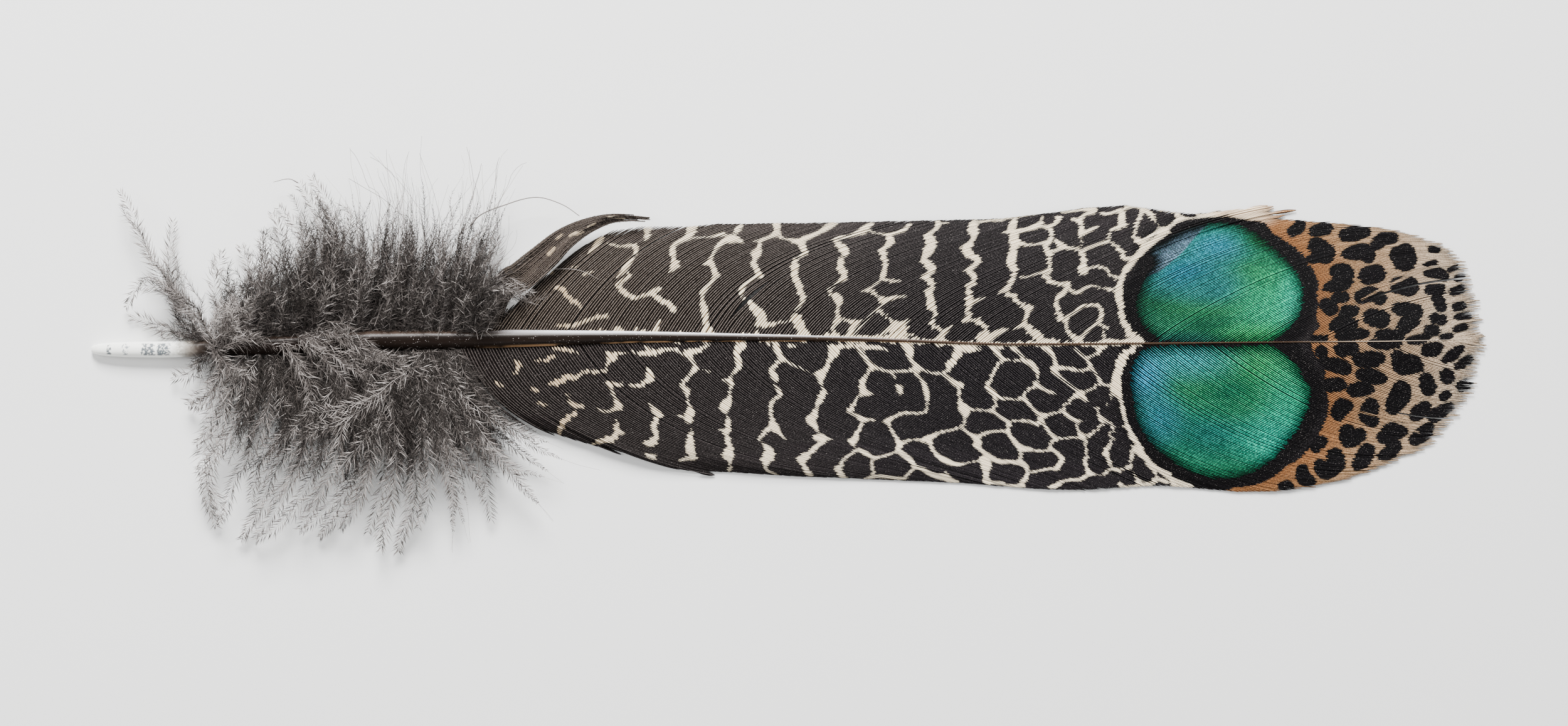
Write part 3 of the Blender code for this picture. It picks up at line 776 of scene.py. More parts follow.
def paint_values(xy, run, fringe, eye_border, tip_border):
    """Ink, eye and tip depths in millimetres for points seen from above."""
    tip = depth_in_border(xy, tip_border)
    ink = np.minimum(MARK_REACH, -depth_in_marks(xy, pale_marks))
    ink = np.minimum(ink, run - fringe)
    ink = np.minimum(ink, -tip)
    spread = np.interp(tip, SPREAD_DEPTHS, SPREADS)
    ink = np.maximum(ink, depth_in_marks(xy, dark_marks) + spread)
    ink = np.minimum(ink, -depth_in_marks(xy, pale_splits))
    eye = depth_in_border(xy, eye_border)
    return 1000 * ink, 1000 * np.clip(eye, -0.004, 0.004), 1000 * np.clip(tip, -0.002, 0.02)


# %% [markdown]
# ## Materials
# Keratin is one stuff everywhere here; what changes is pigment and surface.  Black and cream come
# from melanin and its absence.  The green and blue of the eye spots are a thin-film colour in the
# barbules, so there the ridges shine like metal while the grooves are painted black.  The light and
# shade of the barbs' relief are painted into the colours too: a painted highlight along each crest
# and painted shade in each groove.

# %% Node helpers


class Sheet:
    """Short names for the nodes of one material."""

    def __init__(self, name):
        self.mat = bpy.data.materials.new(name)
        self.mat.use_nodes = True
        self.tree = self.mat.node_tree
        self.shader = self.tree.nodes["Principled BSDF"]
        self.coord = self.add("ShaderNodeTexCoord").outputs["Object"]

    def add(self, kind, **props):
        node = self.tree.nodes.new(kind)
        for key, value in props.items():
            setattr(node, key, value)
        return node

    def put(self, socket, value):
        if isinstance(value, bpy.types.NodeSocket):
            self.tree.links.new(value, socket)
        elif value is not None:
            socket.default_value = value

    def attr(self, name):
        return self.add("ShaderNodeAttribute", attribute_name=name).outputs["Fac"]

    def math(self, op, a, b=None, clamp=False):
        node = self.add("ShaderNodeMath", operation=op, use_clamp=clamp)
        self.put(node.inputs[0], a)
        self.put(node.inputs[1], b)
        return node.outputs[0]

    def step(self, value, lo, hi, a=0.0, b=1.0):
        """Soft step from a to b as value goes from lo to hi."""
        return self.span(value, lo, hi, a, b, "SMOOTHSTEP")

    def span(self, value, lo, hi, a=0.0, b=1.0, kind="LINEAR"):
        """Straight run from a to b as value goes from lo to hi."""
        node = self.add("ShaderNodeMapRange", interpolation_type=kind)
        for key, v in (("Value", value), ("From Min", lo), ("From Max", hi), ("To Min", a), ("To Max", b)):
            self.put(node.inputs[key], v)
        return node.outputs["Result"]

    def mix(self, fac, a, b, blend="MIX"):
        node = self.add("ShaderNodeMix", data_type="RGBA", blend_type=blend)
        self.put(node.inputs[0], fac)
        self.put(node.inputs[6], (*a, 1.0) if isinstance(a, tuple) else a)
        self.put(node.inputs[7], (*b, 1.0) if isinstance(b, tuple) else b)
        return node.outputs[2]

    def ramp(self, value, stops):
        node = self.add("ShaderNodeValToRGB")
        self.put(node.inputs[0], value)
        elements = node.color_ramp.elements
        while len(elements) > 1:
            elements.remove(elements[-1])
        elements[0].position, elements[0].color = stops[0][0], (*stops[0][1], 1.0)
        for pos, colour in stops[1:]:
            elements.new(pos).color = (*colour, 1.0)
        return node.outputs["Color"]

    def noise(self, scale, detail=2.0, stretch=(1, 1, 1)):
        mapping = self.add("ShaderNodeMapping")
        self.put(mapping.inputs["Vector"], self.coord)
        mapping.inputs["Scale"].default_value = stretch
        return self.noise_on(mapping.outputs[0], scale, detail)

    def vector(self, x, y):
        node = self.add("ShaderNodeCombineXYZ")
        self.put(node.inputs[0], x)
        self.put(node.inputs[1], y)
        return node.outputs[0]

    def noise_on(self, vector, scale, detail):
        node = self.add("ShaderNodeTexNoise")
        self.put(node.inputs["Vector"], vector)
        node.inputs["Scale"].default_value = scale
        node.inputs["Detail"].default_value = detail
        return node.outputs["Fac"]

    def axis(self, k):
        node = self.add("ShaderNodeSeparateXYZ")
        self.put(node.inputs[0], self.coord)
        return node.outputs[k]

    def along(self, from_x, to_x, a=0.0, b=1.0):
        """Soft step from a to b along the feather, between two places on the drawing grid."""
        return self.step(self.axis(0), float(place(from_x, 0)[0]), float(place(to_x, 0)[0]), a, b)

    def blob(self, gx, gy, rx, ry):
        """One in the middle of a soft round patch given on the drawing grid, none outside it."""
        x, y = place(gx, gy)
        mapping = self.add("ShaderNodeMapping", vector_type="TEXTURE")
        self.put(mapping.inputs["Vector"], self.coord)
        mapping.inputs["Location"].default_value = (float(x), float(y), 0.0)
        mapping.inputs["Scale"].default_value = (rx / PER_METRE, ry / PER_METRE, 1.0)
        node = self.add("ShaderNodeVectorMath", operation="LENGTH")
        self.put(node.inputs[0], mapping.outputs[0])
        return self.step(node.outputs["Value"], 1.0, 0.0)

    def flecks(self, scale, start, full):
        node = self.add("ShaderNodeGroup", node_tree=fleck_group)
        for key, value in (("Vector", self.coord), ("Scale", scale), ("Start", start), ("Full", full)):
            self.put(node.inputs[key], value)
        return node.outputs["Mask"]

    def bump(self, height, distance, strength=1.0):
        node = self.add("ShaderNodeBump")
        node.inputs["Distance"].default_value = distance
        node.inputs["Strength"].default_value = strength
        self.put(node.inputs["Height"], height)
        self.put(self.shader.inputs["Normal"], node.outputs[0])

    def finish(self, **values):
        for key, value in values.items():
            self.put(self.shader.inputs[key.replace("_", " ").title().replace("Ior", "IOR")], value)
        return self.mat


# %% [markdown]
# Fine bright flecks lie on the vanes, where single barbules catch the light, and on the quill,
# where they are dust.  They are one node group with its own inputs, placed in both materials.

# %% Fleck group


def make_flecks():
    group = bpy.data.node_groups.new("bright flecks", "ShaderNodeTree")
    group.interface.new_socket("Vector", in_out="INPUT", socket_type="NodeSocketVector")
    for label, value in (("Scale", 8200.0), ("Start", 0.66), ("Full", 0.76)):
        group.interface.new_socket(label, in_out="INPUT", socket_type="NodeSocketFloat").default_value = value
    group.interface.new_socket("Mask", in_out="OUTPUT", socket_type="NodeSocketFloat")
    inside, outside = group.nodes.new("NodeGroupInput"), group.nodes.new("NodeGroupOutput")
    grain = group.nodes.new("ShaderNodeTexNoise")
    grain.inputs["Detail"].default_value = 1.0
    edge = group.nodes.new("ShaderNodeMapRange")
    edge.interpolation_type = "SMOOTHSTEP"
    group.links.new(inside.outputs["Vector"], grain.inputs["Vector"])
    group.links.new(inside.outputs["Scale"], grain.inputs["Scale"])
    group.links.new(grain.outputs["Fac"], edge.inputs["Value"])
    group.links.new(inside.outputs["Start"], edge.inputs["From Min"])
    group.links.new(inside.outputs["Full"], edge.inputs["From Max"])
    group.links.new(edge.outputs["Result"], outside.inputs["Mask"])
    return group


fleck_group = make_flecks()
print("fleck group inputs:", [item.name for item in fleck_group.interface.items_tree])

# %% [markdown]
# ### Vane
# The ridge of each barb catches the light and the web of barbules beside it falls into shadow, and
# that light and shade are painted into the colour: it follows the `crest` value, 1 along the ridge
# and 0 in the groove, with painted shade in the groove and a painted highlight along the crest.
# Pigment reaches further out along the ridge than along the web, which gives every border its
# pointed teeth.

# %% Vane material
vane = Sheet("vane barbs")
crest, tint, painted_light = vane.attr("crest"), vane.attr("tint"), vane.attr("painted_light")
bead = vane.noise_on(vane.vector(vane.math("MULTIPLY", vane.attr("run"), 9.0),
                                 vane.math("MULTIPLY", vane.attr("row"), 3.7)), 1.0, 1.0)
glint = vane.flecks(8200.0, 0.66, 0.76)
sparkle = vane.flecks(3000.0, 0.38, 0.62)
# Painted highlight: the crest of each barb, broken into beads.
crest_highlight_mask = vane.math("MULTIPLY", vane.step(crest, 0.66, 0.95), vane.step(bead, 0.3, 0.62, 0.2, 1.0))
# Painted shade: the groove, up to where the flank tone begins.
body = vane.step(crest, 0.22, 0.54)


def painted_relief_tones(groove, flank, crest_highlight_tone):
    """Painted shade in the groove, the flank's tone and a painted highlight along the crest of a barb."""
    return vane.mix(crest_highlight_mask, vane.mix(body, groove, flank), crest_highlight_tone)


tipward = vane.span(vane.attr("tip"), -2.0, 18.0)
# Pale ground in three tones: painted shade in the groove, the flank, and a painted highlight on the crest.
pale = painted_relief_tones(
    vane.ramp(tipward, ((0.0, (0.16, 0.11, 0.065)), (0.04, (0.14, 0.09, 0.05)), (0.10, (0.008, 0.003, 0.001)),
                        (0.5, (0.009, 0.005, 0.003)), (1.0, (0.022, 0.015, 0.011)))),
    vane.ramp(tipward, ((0.0, (0.80, 0.67, 0.47)), (0.04, (0.60, 0.44, 0.27)), (0.10, (0.12, 0.044, 0.015)),
                        (0.24, (0.12, 0.050, 0.020)), (0.36, (0.125, 0.062, 0.028)),
                        (0.7, (0.14, 0.085, 0.046)), (1.0, (0.19, 0.13, 0.084)))),
    vane.ramp(tipward, ((0.0, (0.98, 0.88, 0.70)), (0.04, (0.88, 0.70, 0.48)), (0.10, (0.52, 0.24, 0.095)),
                        (0.24, (0.64, 0.33, 0.145)), (0.36, (0.70, 0.44, 0.235)), (0.7, (0.82, 0.60, 0.39)),
                        (1.0, (0.93, 0.77, 0.57)))))
# Near the eye at the upper edge, the pale is lighter along the crest as painted highlight and darker in the
# groove as painted shade.
pale = vane.mix(vane.blob(1985, 338, 70, 34), pale, vane.mix(crest, (0.34, 0.22, 0.13), (0.90, 0.76, 0.56)))
shaded = vane.mix(1.0, pale, (0.50, 0.42, 0.35), "MULTIPLY")
pale = vane.mix(vane.span(vane.axis(0), -0.034, -0.016, 0.85, 0.0), pale, shaded)
outward = vane.span(vane.axis(0), -0.045, 0.015)
calm = vane.math("MAXIMUM", vane.step(vane.attr("eye"), -3.4, -1.4), vane.step(vane.attr("tip"), -0.8, 0.2))
# Painted light and shade: the flanks and crests of the left vane are painted lighter than those of the right
# vane, by a value stored on each vane.
lively = vane.math("MULTIPLY", painted_light, vane.math("SUBTRACT", 1.0, calm))
lively = vane.math("MULTIPLY", lively, vane.step(vane.axis(0), 0.0, 0.030, 1.0, 0.35))
flank = vane.mix(outward, (0.022, 0.016, 0.012), (0.0055, 0.0045, 0.0045))
# Painted highlight along the crests of the dark barbs.
crest_highlight_tone = vane.mix(outward, (0.23, 0.185, 0.15), (0.13, 0.111, 0.106))
# Dark barbs: painted shade in the groove, the flank, and the painted crest highlight.
dark = painted_relief_tones((0.0012, 0.0010, 0.0010), vane.mix(lively, (0.0026, 0.0022, 0.0026), flank),
                   vane.mix(lively, vane.mix(calm, (0.036, 0.031, 0.036), (0.010, 0.009, 0.010)), crest_highlight_tone))
dark = vane.mix(vane.math("MULTIPLY", glint, 0.30), dark, (0.42, 0.38, 0.36))
ink = vane.math("ADD", vane.attr("ink"), vane.span(crest, 0.0, 1.0, 0.32, -0.08))
ink = vane.math("ADD", ink, vane.span(bead, 0.25, 0.75, -0.06, 0.06))
colour = vane.mix(vane.span(ink, -0.03, 0.03), pale, dark)

# %% [markdown]
# The eye spots take their colour from thin films in the barbules.  That colour is painted on the
# crests as a painted highlight in blue, green or turquoise, over grooves painted black, partly the
# black beneath the film and partly painted shade, and it thins out to nothing at the rim of the spot.

# %% Eye spots
FILM_TONES = (
    # grid x, grid y, reach along and across, tone
    ((1840, 478, 90, 60), (0.012, 0.12, 0.06)),
    ((1960, 470, 160, 80), (0.03, 0.50, 0.13)),
    ((1893, 436, 110, 60), (0.02, 0.32, 0.50)),
    ((1938, 392, 90, 46), (0.03, 0.40, 0.56)),
    ((1935, 460, 90, 44), (0.02, 0.36, 0.36)),
    ((2012, 380, 62, 40), (0.010, 0.18, 0.05)),
    ((1925, 520, 90, 40), (0.012, 0.20, 0.09)),
    ((2035, 500, 100, 90), (0.001, 0.94, 0.42)),
    ((2060, 476, 36, 66), (0.004, 1.0, 0.58)),
    ((2000, 535, 80, 30), (0.015, 0.95, 0.24)),
    ((1930, 685, 140, 76), (0.014, 0.31, 0.25)),
    ((2000, 600, 170, 100), (0.04, 0.80, 0.23)),
    ((2050, 660, 76, 110), (0.001, 0.90, 0.48)),
    ((2030, 700, 90, 66), (0.001, 0.84, 0.56)),
    ((1960, 622, 90, 60), (0.012, 0.32, 0.15)),
    ((1885, 572, 120, 50), (0.04, 0.78, 0.84)),
    ((1820, 600, 60, 74), (0.06, 0.62, 1.0)),
    ((1845, 665, 60, 70), (0.03, 0.44, 0.56)),
)
film = (0.025, 0.42, 0.19)
for patch, tone in FILM_TONES:
    film = vane.mix(vane.blob(*patch), film, tone)
# Painted highlight: the barbs folded over at the rim of the upper eye are painted pale blue where they catch
# the light.
fold_highlight = vane.step(vane.attr("fold"), -0.10, 0.10)
film = vane.mix(fold_highlight, film, (0.30, 0.50, 0.70))
film = vane.mix(vane.step(bead, 0.35, 0.60, 0.55, 0.0), film, (0.002, 0.02, 0.012))
film = vane.mix(vane.math("SUBTRACT", 0.55, vane.math("MULTIPLY", sparkle, 0.55)), film, (0.002, 0.03, 0.018))
film = vane.mix(vane.math("MULTIPLY", glint, 0.4), film, (0.10, 1.0, 0.70))
depth = vane.math("ADD", vane.attr("eye"), vane.step(tint, 0.0, 1.0, -0.12, 0.12))
shine = vane.math("SUBTRACT", crest, vane.span(depth, 0.0, 1.8, 0.98, 0.62))
shine = vane.math("SUBTRACT", shine, vane.math("MULTIPLY", fold_highlight, 0.10))
shine = vane.math("MULTIPLY", vane.step(shine, -0.12, 0.14), vane.step(depth, -0.05, 0.10))
# Inside the eye everything off the crests is painted near black: partly the black beneath the film, partly
# painted shade in the grooves.
in_eye = vane.step(depth, -0.10, 0.05)
colour = vane.mix(in_eye, colour, (0.0012, 0.0020, 0.0018))
colour = vane.mix(shine, colour, film)
vane.bump(bead, 0.00003, 0.6)
vane_mat = vane.finish(base_color=colour, metallic=vane.math("MULTIPLY", shine, 0.15),
                       roughness=vane.step(shine, 0.0, 1.0, 0.6, 0.42), specular_ior_level=0.04)

# %% [markdown]
# ## Vanes
# Barbs leave the rachis every 0.44 mm and curve towards the tip.  Their lean is given at four
# distances out from the shaft, and each barb follows that field of directions until it meets the
# outer edge, so neighbours run side by side.  Each is a little wider than the gap to its
# neighbour, where the real ones are held together by hooked barbules, and thins where it is free.

# %% Barb paths
# One step of a growing barb and the longest barb's place on its map, in metres
BARB_STEP = 0.0001
MAX_STEPS = 560
LONGEST_BARB = 0.0385
# How far a barb's reading of the pattern strays along it, and its height at the outer edge
MARK_JITTER = 0.00012
EDGE_HEIGHT = 0.00034
LEAN_TABLES = {1: (LEFT_EDGE, LEFT_LEAN), -1: (RIGHT_EDGE, RIGHT_LEAN)}
# Grid x and y where a split of the vane starts, its opening and its reach in millimetres
SPLITS = {
    1: ((1161, 513, 0.55, 8.5), (2166, 481, 0.32, 40.0)),
    -1: ((2196, 652, 0.22, 40.0), (744, 600, 0.5, 40.0)),
}
# How far the cream at the foot of the barbs reaches, in millimetres, by grid x
FRINGE = {
    1: ((800, 0.0), (830, 0.15), (880, 0.5), (940, 0.7), (1000, 0.75), (1060, 0.6), (1130, 0.4),
        (1250, 0.65), (1400, 0.5), (1560, 0.5), (1700, 0.5), (1782, 0.5), (1800, 0.0), (2400, 0.0)),
    -1: ((740, 0.0), (900, 0.12), (980, 0.35), (1020, 0.7), (1100, 0.5), (1200, 0.4), (1400, 0.45),
         (1600, 0.45), (1782, 0.45), (1800, 0.0), (2400, 0.0)),
}


def lean_field(table, x, out):
    gx = grid_x(x)
    cols = np.stack([np.interp(gx, table[:, 0], table[:, k]) for k in (1, 2, 3, 4)])
    t = np.clip(out / LEAN_STEPS[1], 0.0, 3.6)
    k = np.minimum(t.astype(int), 2)
    pick = np.arange(len(t))
    return np.radians(cols[k, pick] + (cols[k + 1, pick] - cols[k, pick]) * (t - k))


def grow_barbs(side, roots, overshoot):
    """Plan paths of the barbs of one side, each ending where it passes the vane's edge."""
    edge, table = LEAN_TABLES[side]
    ex, ey = place(*np.array(edge, float).T)
    x = place(roots, 0)[0]
    y = shaft_y(x)
    runs = [np.stack([x, y])]
    for _ in range(MAX_STEPS):
        a = lean_field(table, x, side * (y - shaft_y(x)))
        x = x + BARB_STEP * np.cos(a)
        y = y + side * BARB_STEP * np.sin(a)
        runs.append(np.stack([x, y]))
    runs = np.array(runs)
    paths = []
    for i in range(len(roots)):
        px, py = runs[:, 0, i], runs[:, 1, i]
        past = (side * (py - np.interp(px, ex, ey)) > 0) & (np.arange(len(px)) > 2) | (px >= ex[-1])
        last = int(np.argmax(past)) if past.any() else len(px) - 1
        extra = overshoot(grid_x(px[last]))
        last = min(max(last + int(extra / BARB_STEP), 12), len(px) - 1)
        paths.append(runs[:last + 1, :, i])
    return paths


def vane_height(x, share):
    root = 0.55 * shaft_height(x) + 0.00012
    crown = np.interp(grid_x(x), (730, 1000, 1700, 2100, 2357), (0.0010, 0.0016, 0.0014, 0.0009, 0.0001))
    return root + (EDGE_HEIGHT - root) * share ** 1.4 + crown * 4.0 * share * (1.0 - share) ** 1.15


def barb_gaps(paths):
    """Distance from each point of a barb to the next barb."""
    gaps = []
    for p, q in zip(paths, paths[1:]):
        gaps.append(np.linalg.norm(p[:, None, :2] - q[None, :, :2], axis=2).min(axis=1))
    gaps.append(np.resize(gaps[-1], len(paths[-1])))
    return gaps


def open_splits(paths, side):
    """Part the barbs on either side of each split, most at the split and less further off."""
    for gx, gy, width, reach in SPLITS[side]:
        start = np.array(place(gx, gy), float)
        near = [np.linalg.norm(p[:, :2] - start, axis=1) for p in paths]
        first = int(np.argmin([d.min() for d in near]))
        from_root = 1000 * np.linalg.norm(paths[first][int(np.argmin(near[first])), :2] - paths[first][0, :2])
        for i in range(max(first - 12, 0), min(first + 14, len(paths))):
            p = paths[i]
            t = 1000 * np.linalg.norm(p[:, :2] - p[0, :2], axis=1) - from_root
            window = np.clip(t / 3.0, 0, 1) * np.clip((reach - t) / 3.0, 0, 1)
            off = i - first - 0.5
            push = np.sign(off) * 0.0005 * width * math.exp(-abs(off) / 3.0) * window
            along = unit(np.gradient(p[:, :2], axis=0))
            p[:, :2] += push[:, None] * side * np.column_stack([along[:, 1], -along[:, 0]])
            p[:, 2] -= 0.4 * np.abs(push) * (off > 0)
    return paths


def make_vane(name, side, first, last, count, seg, painted_light, eye, tip, fold):
    roots = np.linspace(first, last, count) + rng.normal(0, 0.35, count)

    def overshoot(gx):
        """How far past the edge a barb runs free, by where it meets the edge."""
        extra = rng.normal(0, 0.0001)
        if gx > 2080:
            extra += rng.uniform(-0.0008, 0.0010)
        if side > 0 and 1930 < gx < 2036:
            extra += rng.uniform(0.0002, 0.0034) * (rng.random() < 0.6)
        if side < 0 and 850 < gx < 1130:
            extra += rng.uniform(0.0, 0.0030) * (rng.random() < 0.7)
        return extra

    plan = [spaced(p, max(int(len(p) * BARB_STEP / seg), 6)) for p in grow_barbs(side, roots, overshoot)]
    sway = rng.normal(0, 1, count + 8)
    sway = np.convolve(sway, np.ones(9) / 3, "valid")
    paths = []
    for p, w in zip(plan, sway):
        share = np.linspace(0, 1, len(p))
        paths.append(np.column_stack([p, vane_height(p[:, 0], share) + 0.00005 * w * share]))
    gaps = barb_gaps(paths)
    paths = open_splits(paths, side)
    radii = []
    for p, gap in zip(paths, gaps):
        n = len(p)
        width = np.convolve(np.pad(gap, 2, "edge"), np.ones(5) / 5, "valid")
        left = (1.0 - np.linspace(0, 1, n)) * (n - 1) * seg
        free = np.interp(grid_x(p[-1, 0]), (850, 1000, 1150, 1950, 2150, 2300),
                         (0.0025, 0.0022, 0.0006, 0.0010, 0.0018, 0.0026))
        thin = np.clip(left / free, 0, 1)
        radii.append(np.clip(0.54 * width, 0.00003, 0.00024) * (0.24 + 0.76 * thin ** 0.8))
    swept = rods(paths, radii)
    fringe = np.interp(roots, *np.array(FRINGE[side]).T) * 0.001
    drift = np.convolve(rng.normal(0, 0.45, count + 4), np.ones(5) / 2.2, "valid")
    fringe *= np.exp(drift + rng.normal(0, 0.22, count))
    jitter = rng.normal(0, MARK_JITTER, count)
    along = np.vstack([unit(np.gradient(p[:, :2], axis=0)) for p in paths])
    flat = np.vstack([p[:, :2] for p in plan])
    owner = swept["owner"][::3]
    run = swept["run"][::3]
    no_fringe = 0.0002 * (fringe[owner] <= 0)
    ink, eye_depth, tip_depth = paint_values(flat + along * jitter[owner][:, None], run,
                                             fringe[owner] - no_fringe, eye, tip)
    if fold is None:
        fold_depth = np.full(len(flat), -2.0)
    else:
        fold_depth = 1000 * depth_in_border(flat, fold)
    tint = rng.uniform(0, 1, count)
    values = {
        "ink": np.repeat(ink, 3), "eye": np.repeat(eye_depth, 3), "tip": np.repeat(tip_depth, 3),
        "fold": np.repeat(np.clip(fold_depth, -2, 2), 3), "crest": (swept["corner"] == 2).astype(float),
        "tint": tint[swept["owner"]], "row": swept["owner"], "run": 1000 * swept["run"],
        "painted_light": np.full(len(swept["owner"]), painted_light),
    }
    return build(name, [swept], values, vane_mat, barb_rows(swept, count, LONGEST_BARB))


left_eye, right_eye = read_border(*LEFT_EYE), read_border(*RIGHT_EYE)
left_tip, right_tip = beyond(read_border(*LEFT_TIP)), beyond(read_border(*RIGHT_TIP))
left_fold = read_border(*LEFT_FOLD)
# The right vane gets a quarter of the left vane's painted light, so its barbs are painted darker: painted
# shade.
make_vane("left_vane", 1, 772, 2350, 329, 0.00040, 1.0, left_eye, left_tip, left_fold)
make_vane("right_vane", -1, 731, 2350, 334, 0.00041, 0.25, right_eye, right_tip, None)

# %% [markdown]
# ## Quill
# The calamus was a living tube while the feather grew and is now clear keratin with dry caps of
# pith inside; the rachis above it is solid, dark and polished.  It is lofted ring by ring along
# the shaft with a flat underside, and its cut end is closed in with the small pit where it drew
# its blood supply.  The edges to be bridged are kept in ordered lists: a Python set would hand
# them over in another order each run, and a few faces would then be split another way.

# %% Quill material
quill = Sheet("quill keratin")
quill_side = quill.attr("side")
uneven = quill.math("ADD", quill.axis(0), quill.span(quill.noise(2400, 2.0), 0.3, 0.7, -0.0003, 0.0003))
along_calamus = quill.step(uneven, float(place(140, 0)[0]), float(place(340, 0)[0]))


def calamus_stop(x):
    t = (x - 140) / 200
    return t * t * (3 - 2 * t)


PITH = (0.13, 0.145, 0.155)
CLEAR = (0.87, 0.87, 0.82)
pith = quill.ramp(along_calamus, [(calamus_stop(x), c) for x, c in (
    (170, CLEAR), (173, PITH), (177, PITH), (180, CLEAR), (196, CLEAR), (199, (0.28, 0.30, 0.31)),
    (205, (0.26, 0.28, 0.30)), (208, CLEAR), (228, CLEAR), (231, PITH), (246, PITH), (249, CLEAR),
    (252, CLEAR), (255, PITH), (271, PITH), (274, CLEAR), (282, (0.66, 0.65, 0.59)),
    (292, (0.36, 0.34, 0.30)),
    (306, (0.20, 0.175, 0.15)), (322, (0.06, 0.046, 0.038)))])
rim = quill.step(quill.math("ABSOLUTE", quill_side), 0.62, 0.85)
clear_part = quill.along(280, 300, 1.0, 0.0)
speckled = quill.step(quill.noise(3000, 3.0), 0.46, 0.62, 0.0, 0.75)
smudged = quill.math("MULTIPLY", quill.along(212, 222, 1.0, 0.0),
                     quill.step(quill.noise(1500, 2.0), 0.46, 0.54))
speckled = quill.math("MULTIPLY", quill.math("MAXIMUM", speckled, smudged), clear_part)
pith = quill.mix(speckled, pith, CLEAR)
calamus = quill.mix(quill.math("MULTIPLY", rim, clear_part), pith, (0.92, 0.92, 0.88))
streak = quill.noise(90, 3.0, (0.15, 12, 12))
brown = quill.mix(streak, (0.003, 0.002, 0.0015), (0.013, 0.008, 0.006))
brown = quill.mix(quill.step(quill_side, 0.15, 0.75, 0.0, 0.8), brown, (0.060, 0.040, 0.030))
# Painted highlight: a pale band along the upper edge of the rachis, from grid x 740 on.
upper_edge_highlight = quill.math("MULTIPLY", quill.step(quill_side, 0.42, 0.80), quill.along(740, 940))
brown = quill.mix(upper_edge_highlight, brown, (0.70, 0.69, 0.72))
beyond_middle = quill.along(1150, 1550)
brown = quill.mix(beyond_middle, brown, (0.035, 0.019, 0.011))
near_tip = quill.along(2040, 2240)
brown = quill.mix(near_tip, brown, (0.30, 0.24, 0.18))
low_edge = quill.step(quill_side, -0.62, -0.88)
amber = quill.math("MULTIPLY", low_edge, quill.step(quill.noise(420, 2.0, (0.5, 1, 1)), 0.46, 0.60, 0.0, 0.9))
amber = quill.math("MULTIPLY", amber, quill.step(quill.axis(0), -0.048, -0.030))
brown = quill.mix(amber, brown, (0.52, 0.30, 0.15))
brown = quill.mix(quill.math("MULTIPLY", quill.flecks(5200.0, 0.71, 0.76), 0.5), brown, (0.45, 0.42, 0.40))
to_brown = quill.along(300, 345)
quill.bump(quill.noise(1500, 3.0, (0.2, 2, 2)), 0.00002, 0.4)
quill_mat = quill.finish(base_color=quill.mix(to_brown, calamus, brown), roughness=0.30,
                         specular_ior_level=0.12)

# %% Quill mesh


def plan_strips(mesh):
    """Map seen from above, cut into strips along the feather, the underside squeezed beside them."""
    co = np.empty(3 * len(mesh.vertices))
    mesh.vertices.foreach_get("co", co)
    co = co.reshape(-1, 3)
    polygons = len(mesh.polygons)
    centre, normal = np.empty(3 * polygons), np.empty(3 * polygons)
    mesh.polygons.foreach_get("center", centre)
    mesh.polygons.foreach_get("normal", normal)
    size = np.empty(polygons, int)
    mesh.polygons.foreach_get("loop_total", size)
    vert = np.empty(len(mesh.loops), int)
    mesh.loops.foreach_get("vertex_index", vert)
    low, high = co.min(axis=0), co.max(axis=0)
    wide, tall = (high - low)[:2]
    cuts = min(range(1, 13), key=lambda k: max(wide / k, 2.1 * k * tall))
    span = max(wide / cuts + 0.006, 2.1 * cuts * tall)
    strip = np.clip((centre[::3] - low[0]) / wide * cuts, 0, cuts - 1).astype(int)
    strip, under = np.repeat(strip, size), np.repeat(normal[2::3] < -0.2, size)
    u = (co[vert, 0] - low[0] - strip * wide / cuts + 0.003) / span
    v = (co[vert, 1] - low[1] + 2.1 * strip * tall + 1.04 * tall * under) / span
    mesh.uv_layers.new(name="OFBake").data.foreach_set("uv", np.column_stack([u, v]).ravel())


def make_quill(stations=240, sides=20):
    bm = bmesh.new()
    side_layer = bm.verts.layers.float.new("side")
    loops = []
    for gx in np.concatenate([np.linspace(147, 200, 30), np.linspace(202, 2356, stations)]):
        x = float(place(gx, 0)[0])
        y, half, tall = float(shaft_y(x)), float(shaft_half(x)), float(shaft_height(x))
        ring = bmesh.ops.create_circle(bm, segments=sides, radius=1.0)["verts"]
        for v in ring:
            c, up = v.co.x, v.co.y
            v.co = (x, y + half * c, 0.5 * tall * (1.0 + math.copysign(abs(up) ** 0.85, up)))
            v[side_layer] = c
        loops.append(list(dict.fromkeys(e for v in ring for e in v.link_edges)))
    for a, b in zip(loops, loops[1:]):
        bmesh.ops.bridge_loops(bm, edges=a + b)
    pit = bmesh.ops.edgeloop_fill(bm, edges=loops[0])["faces"]
    bmesh.ops.inset_region(bm, faces=pit, thickness=0.00018)
    floor_of_pit = list(dict.fromkeys(v for f in pit for v in f.verts))
    bmesh.ops.translate(bm, verts=floor_of_pit, vec=(0.0006, 0, 0))
    bmesh.ops.edgeloop_fill(bm, edges=loops[-1])
    bmesh.ops.recalc_face_normals(bm, faces=bm.faces)
    for face in bm.faces:
        face.smooth = True
    mesh = bpy.data.meshes.new("quill")
    bm.to_mesh(mesh)
    volume = 1e9 * bm.calc_volume(signed=True)
    bm.free()
    mesh.set_sharp_from_angle(angle=math.radians(50))
    plan_strips(mesh)
    mesh.materials.append(quill_mat)
    obj = bpy.data.objects.new("quill", mesh)
    bpy.context.scene.collection.objects.link(obj)
    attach(obj, "root")
    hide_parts("feather")
    print(f"quill: {len(mesh.loops) - 2 * len(mesh.polygons)} triangles, {volume:.1f} mm3")


make_quill()

# %% [markdown]
# ## Down
# Downy barbs have no hooks, so their barbules stand out free on both sides and the light catches
# them.  Each barb is a fine rod along a path through four points, with bent needles for
# barbules.  The paths between are blended from their neighbours and carry straight
# spikes, which take fewer faces where they lie half hidden in the thick of the down.

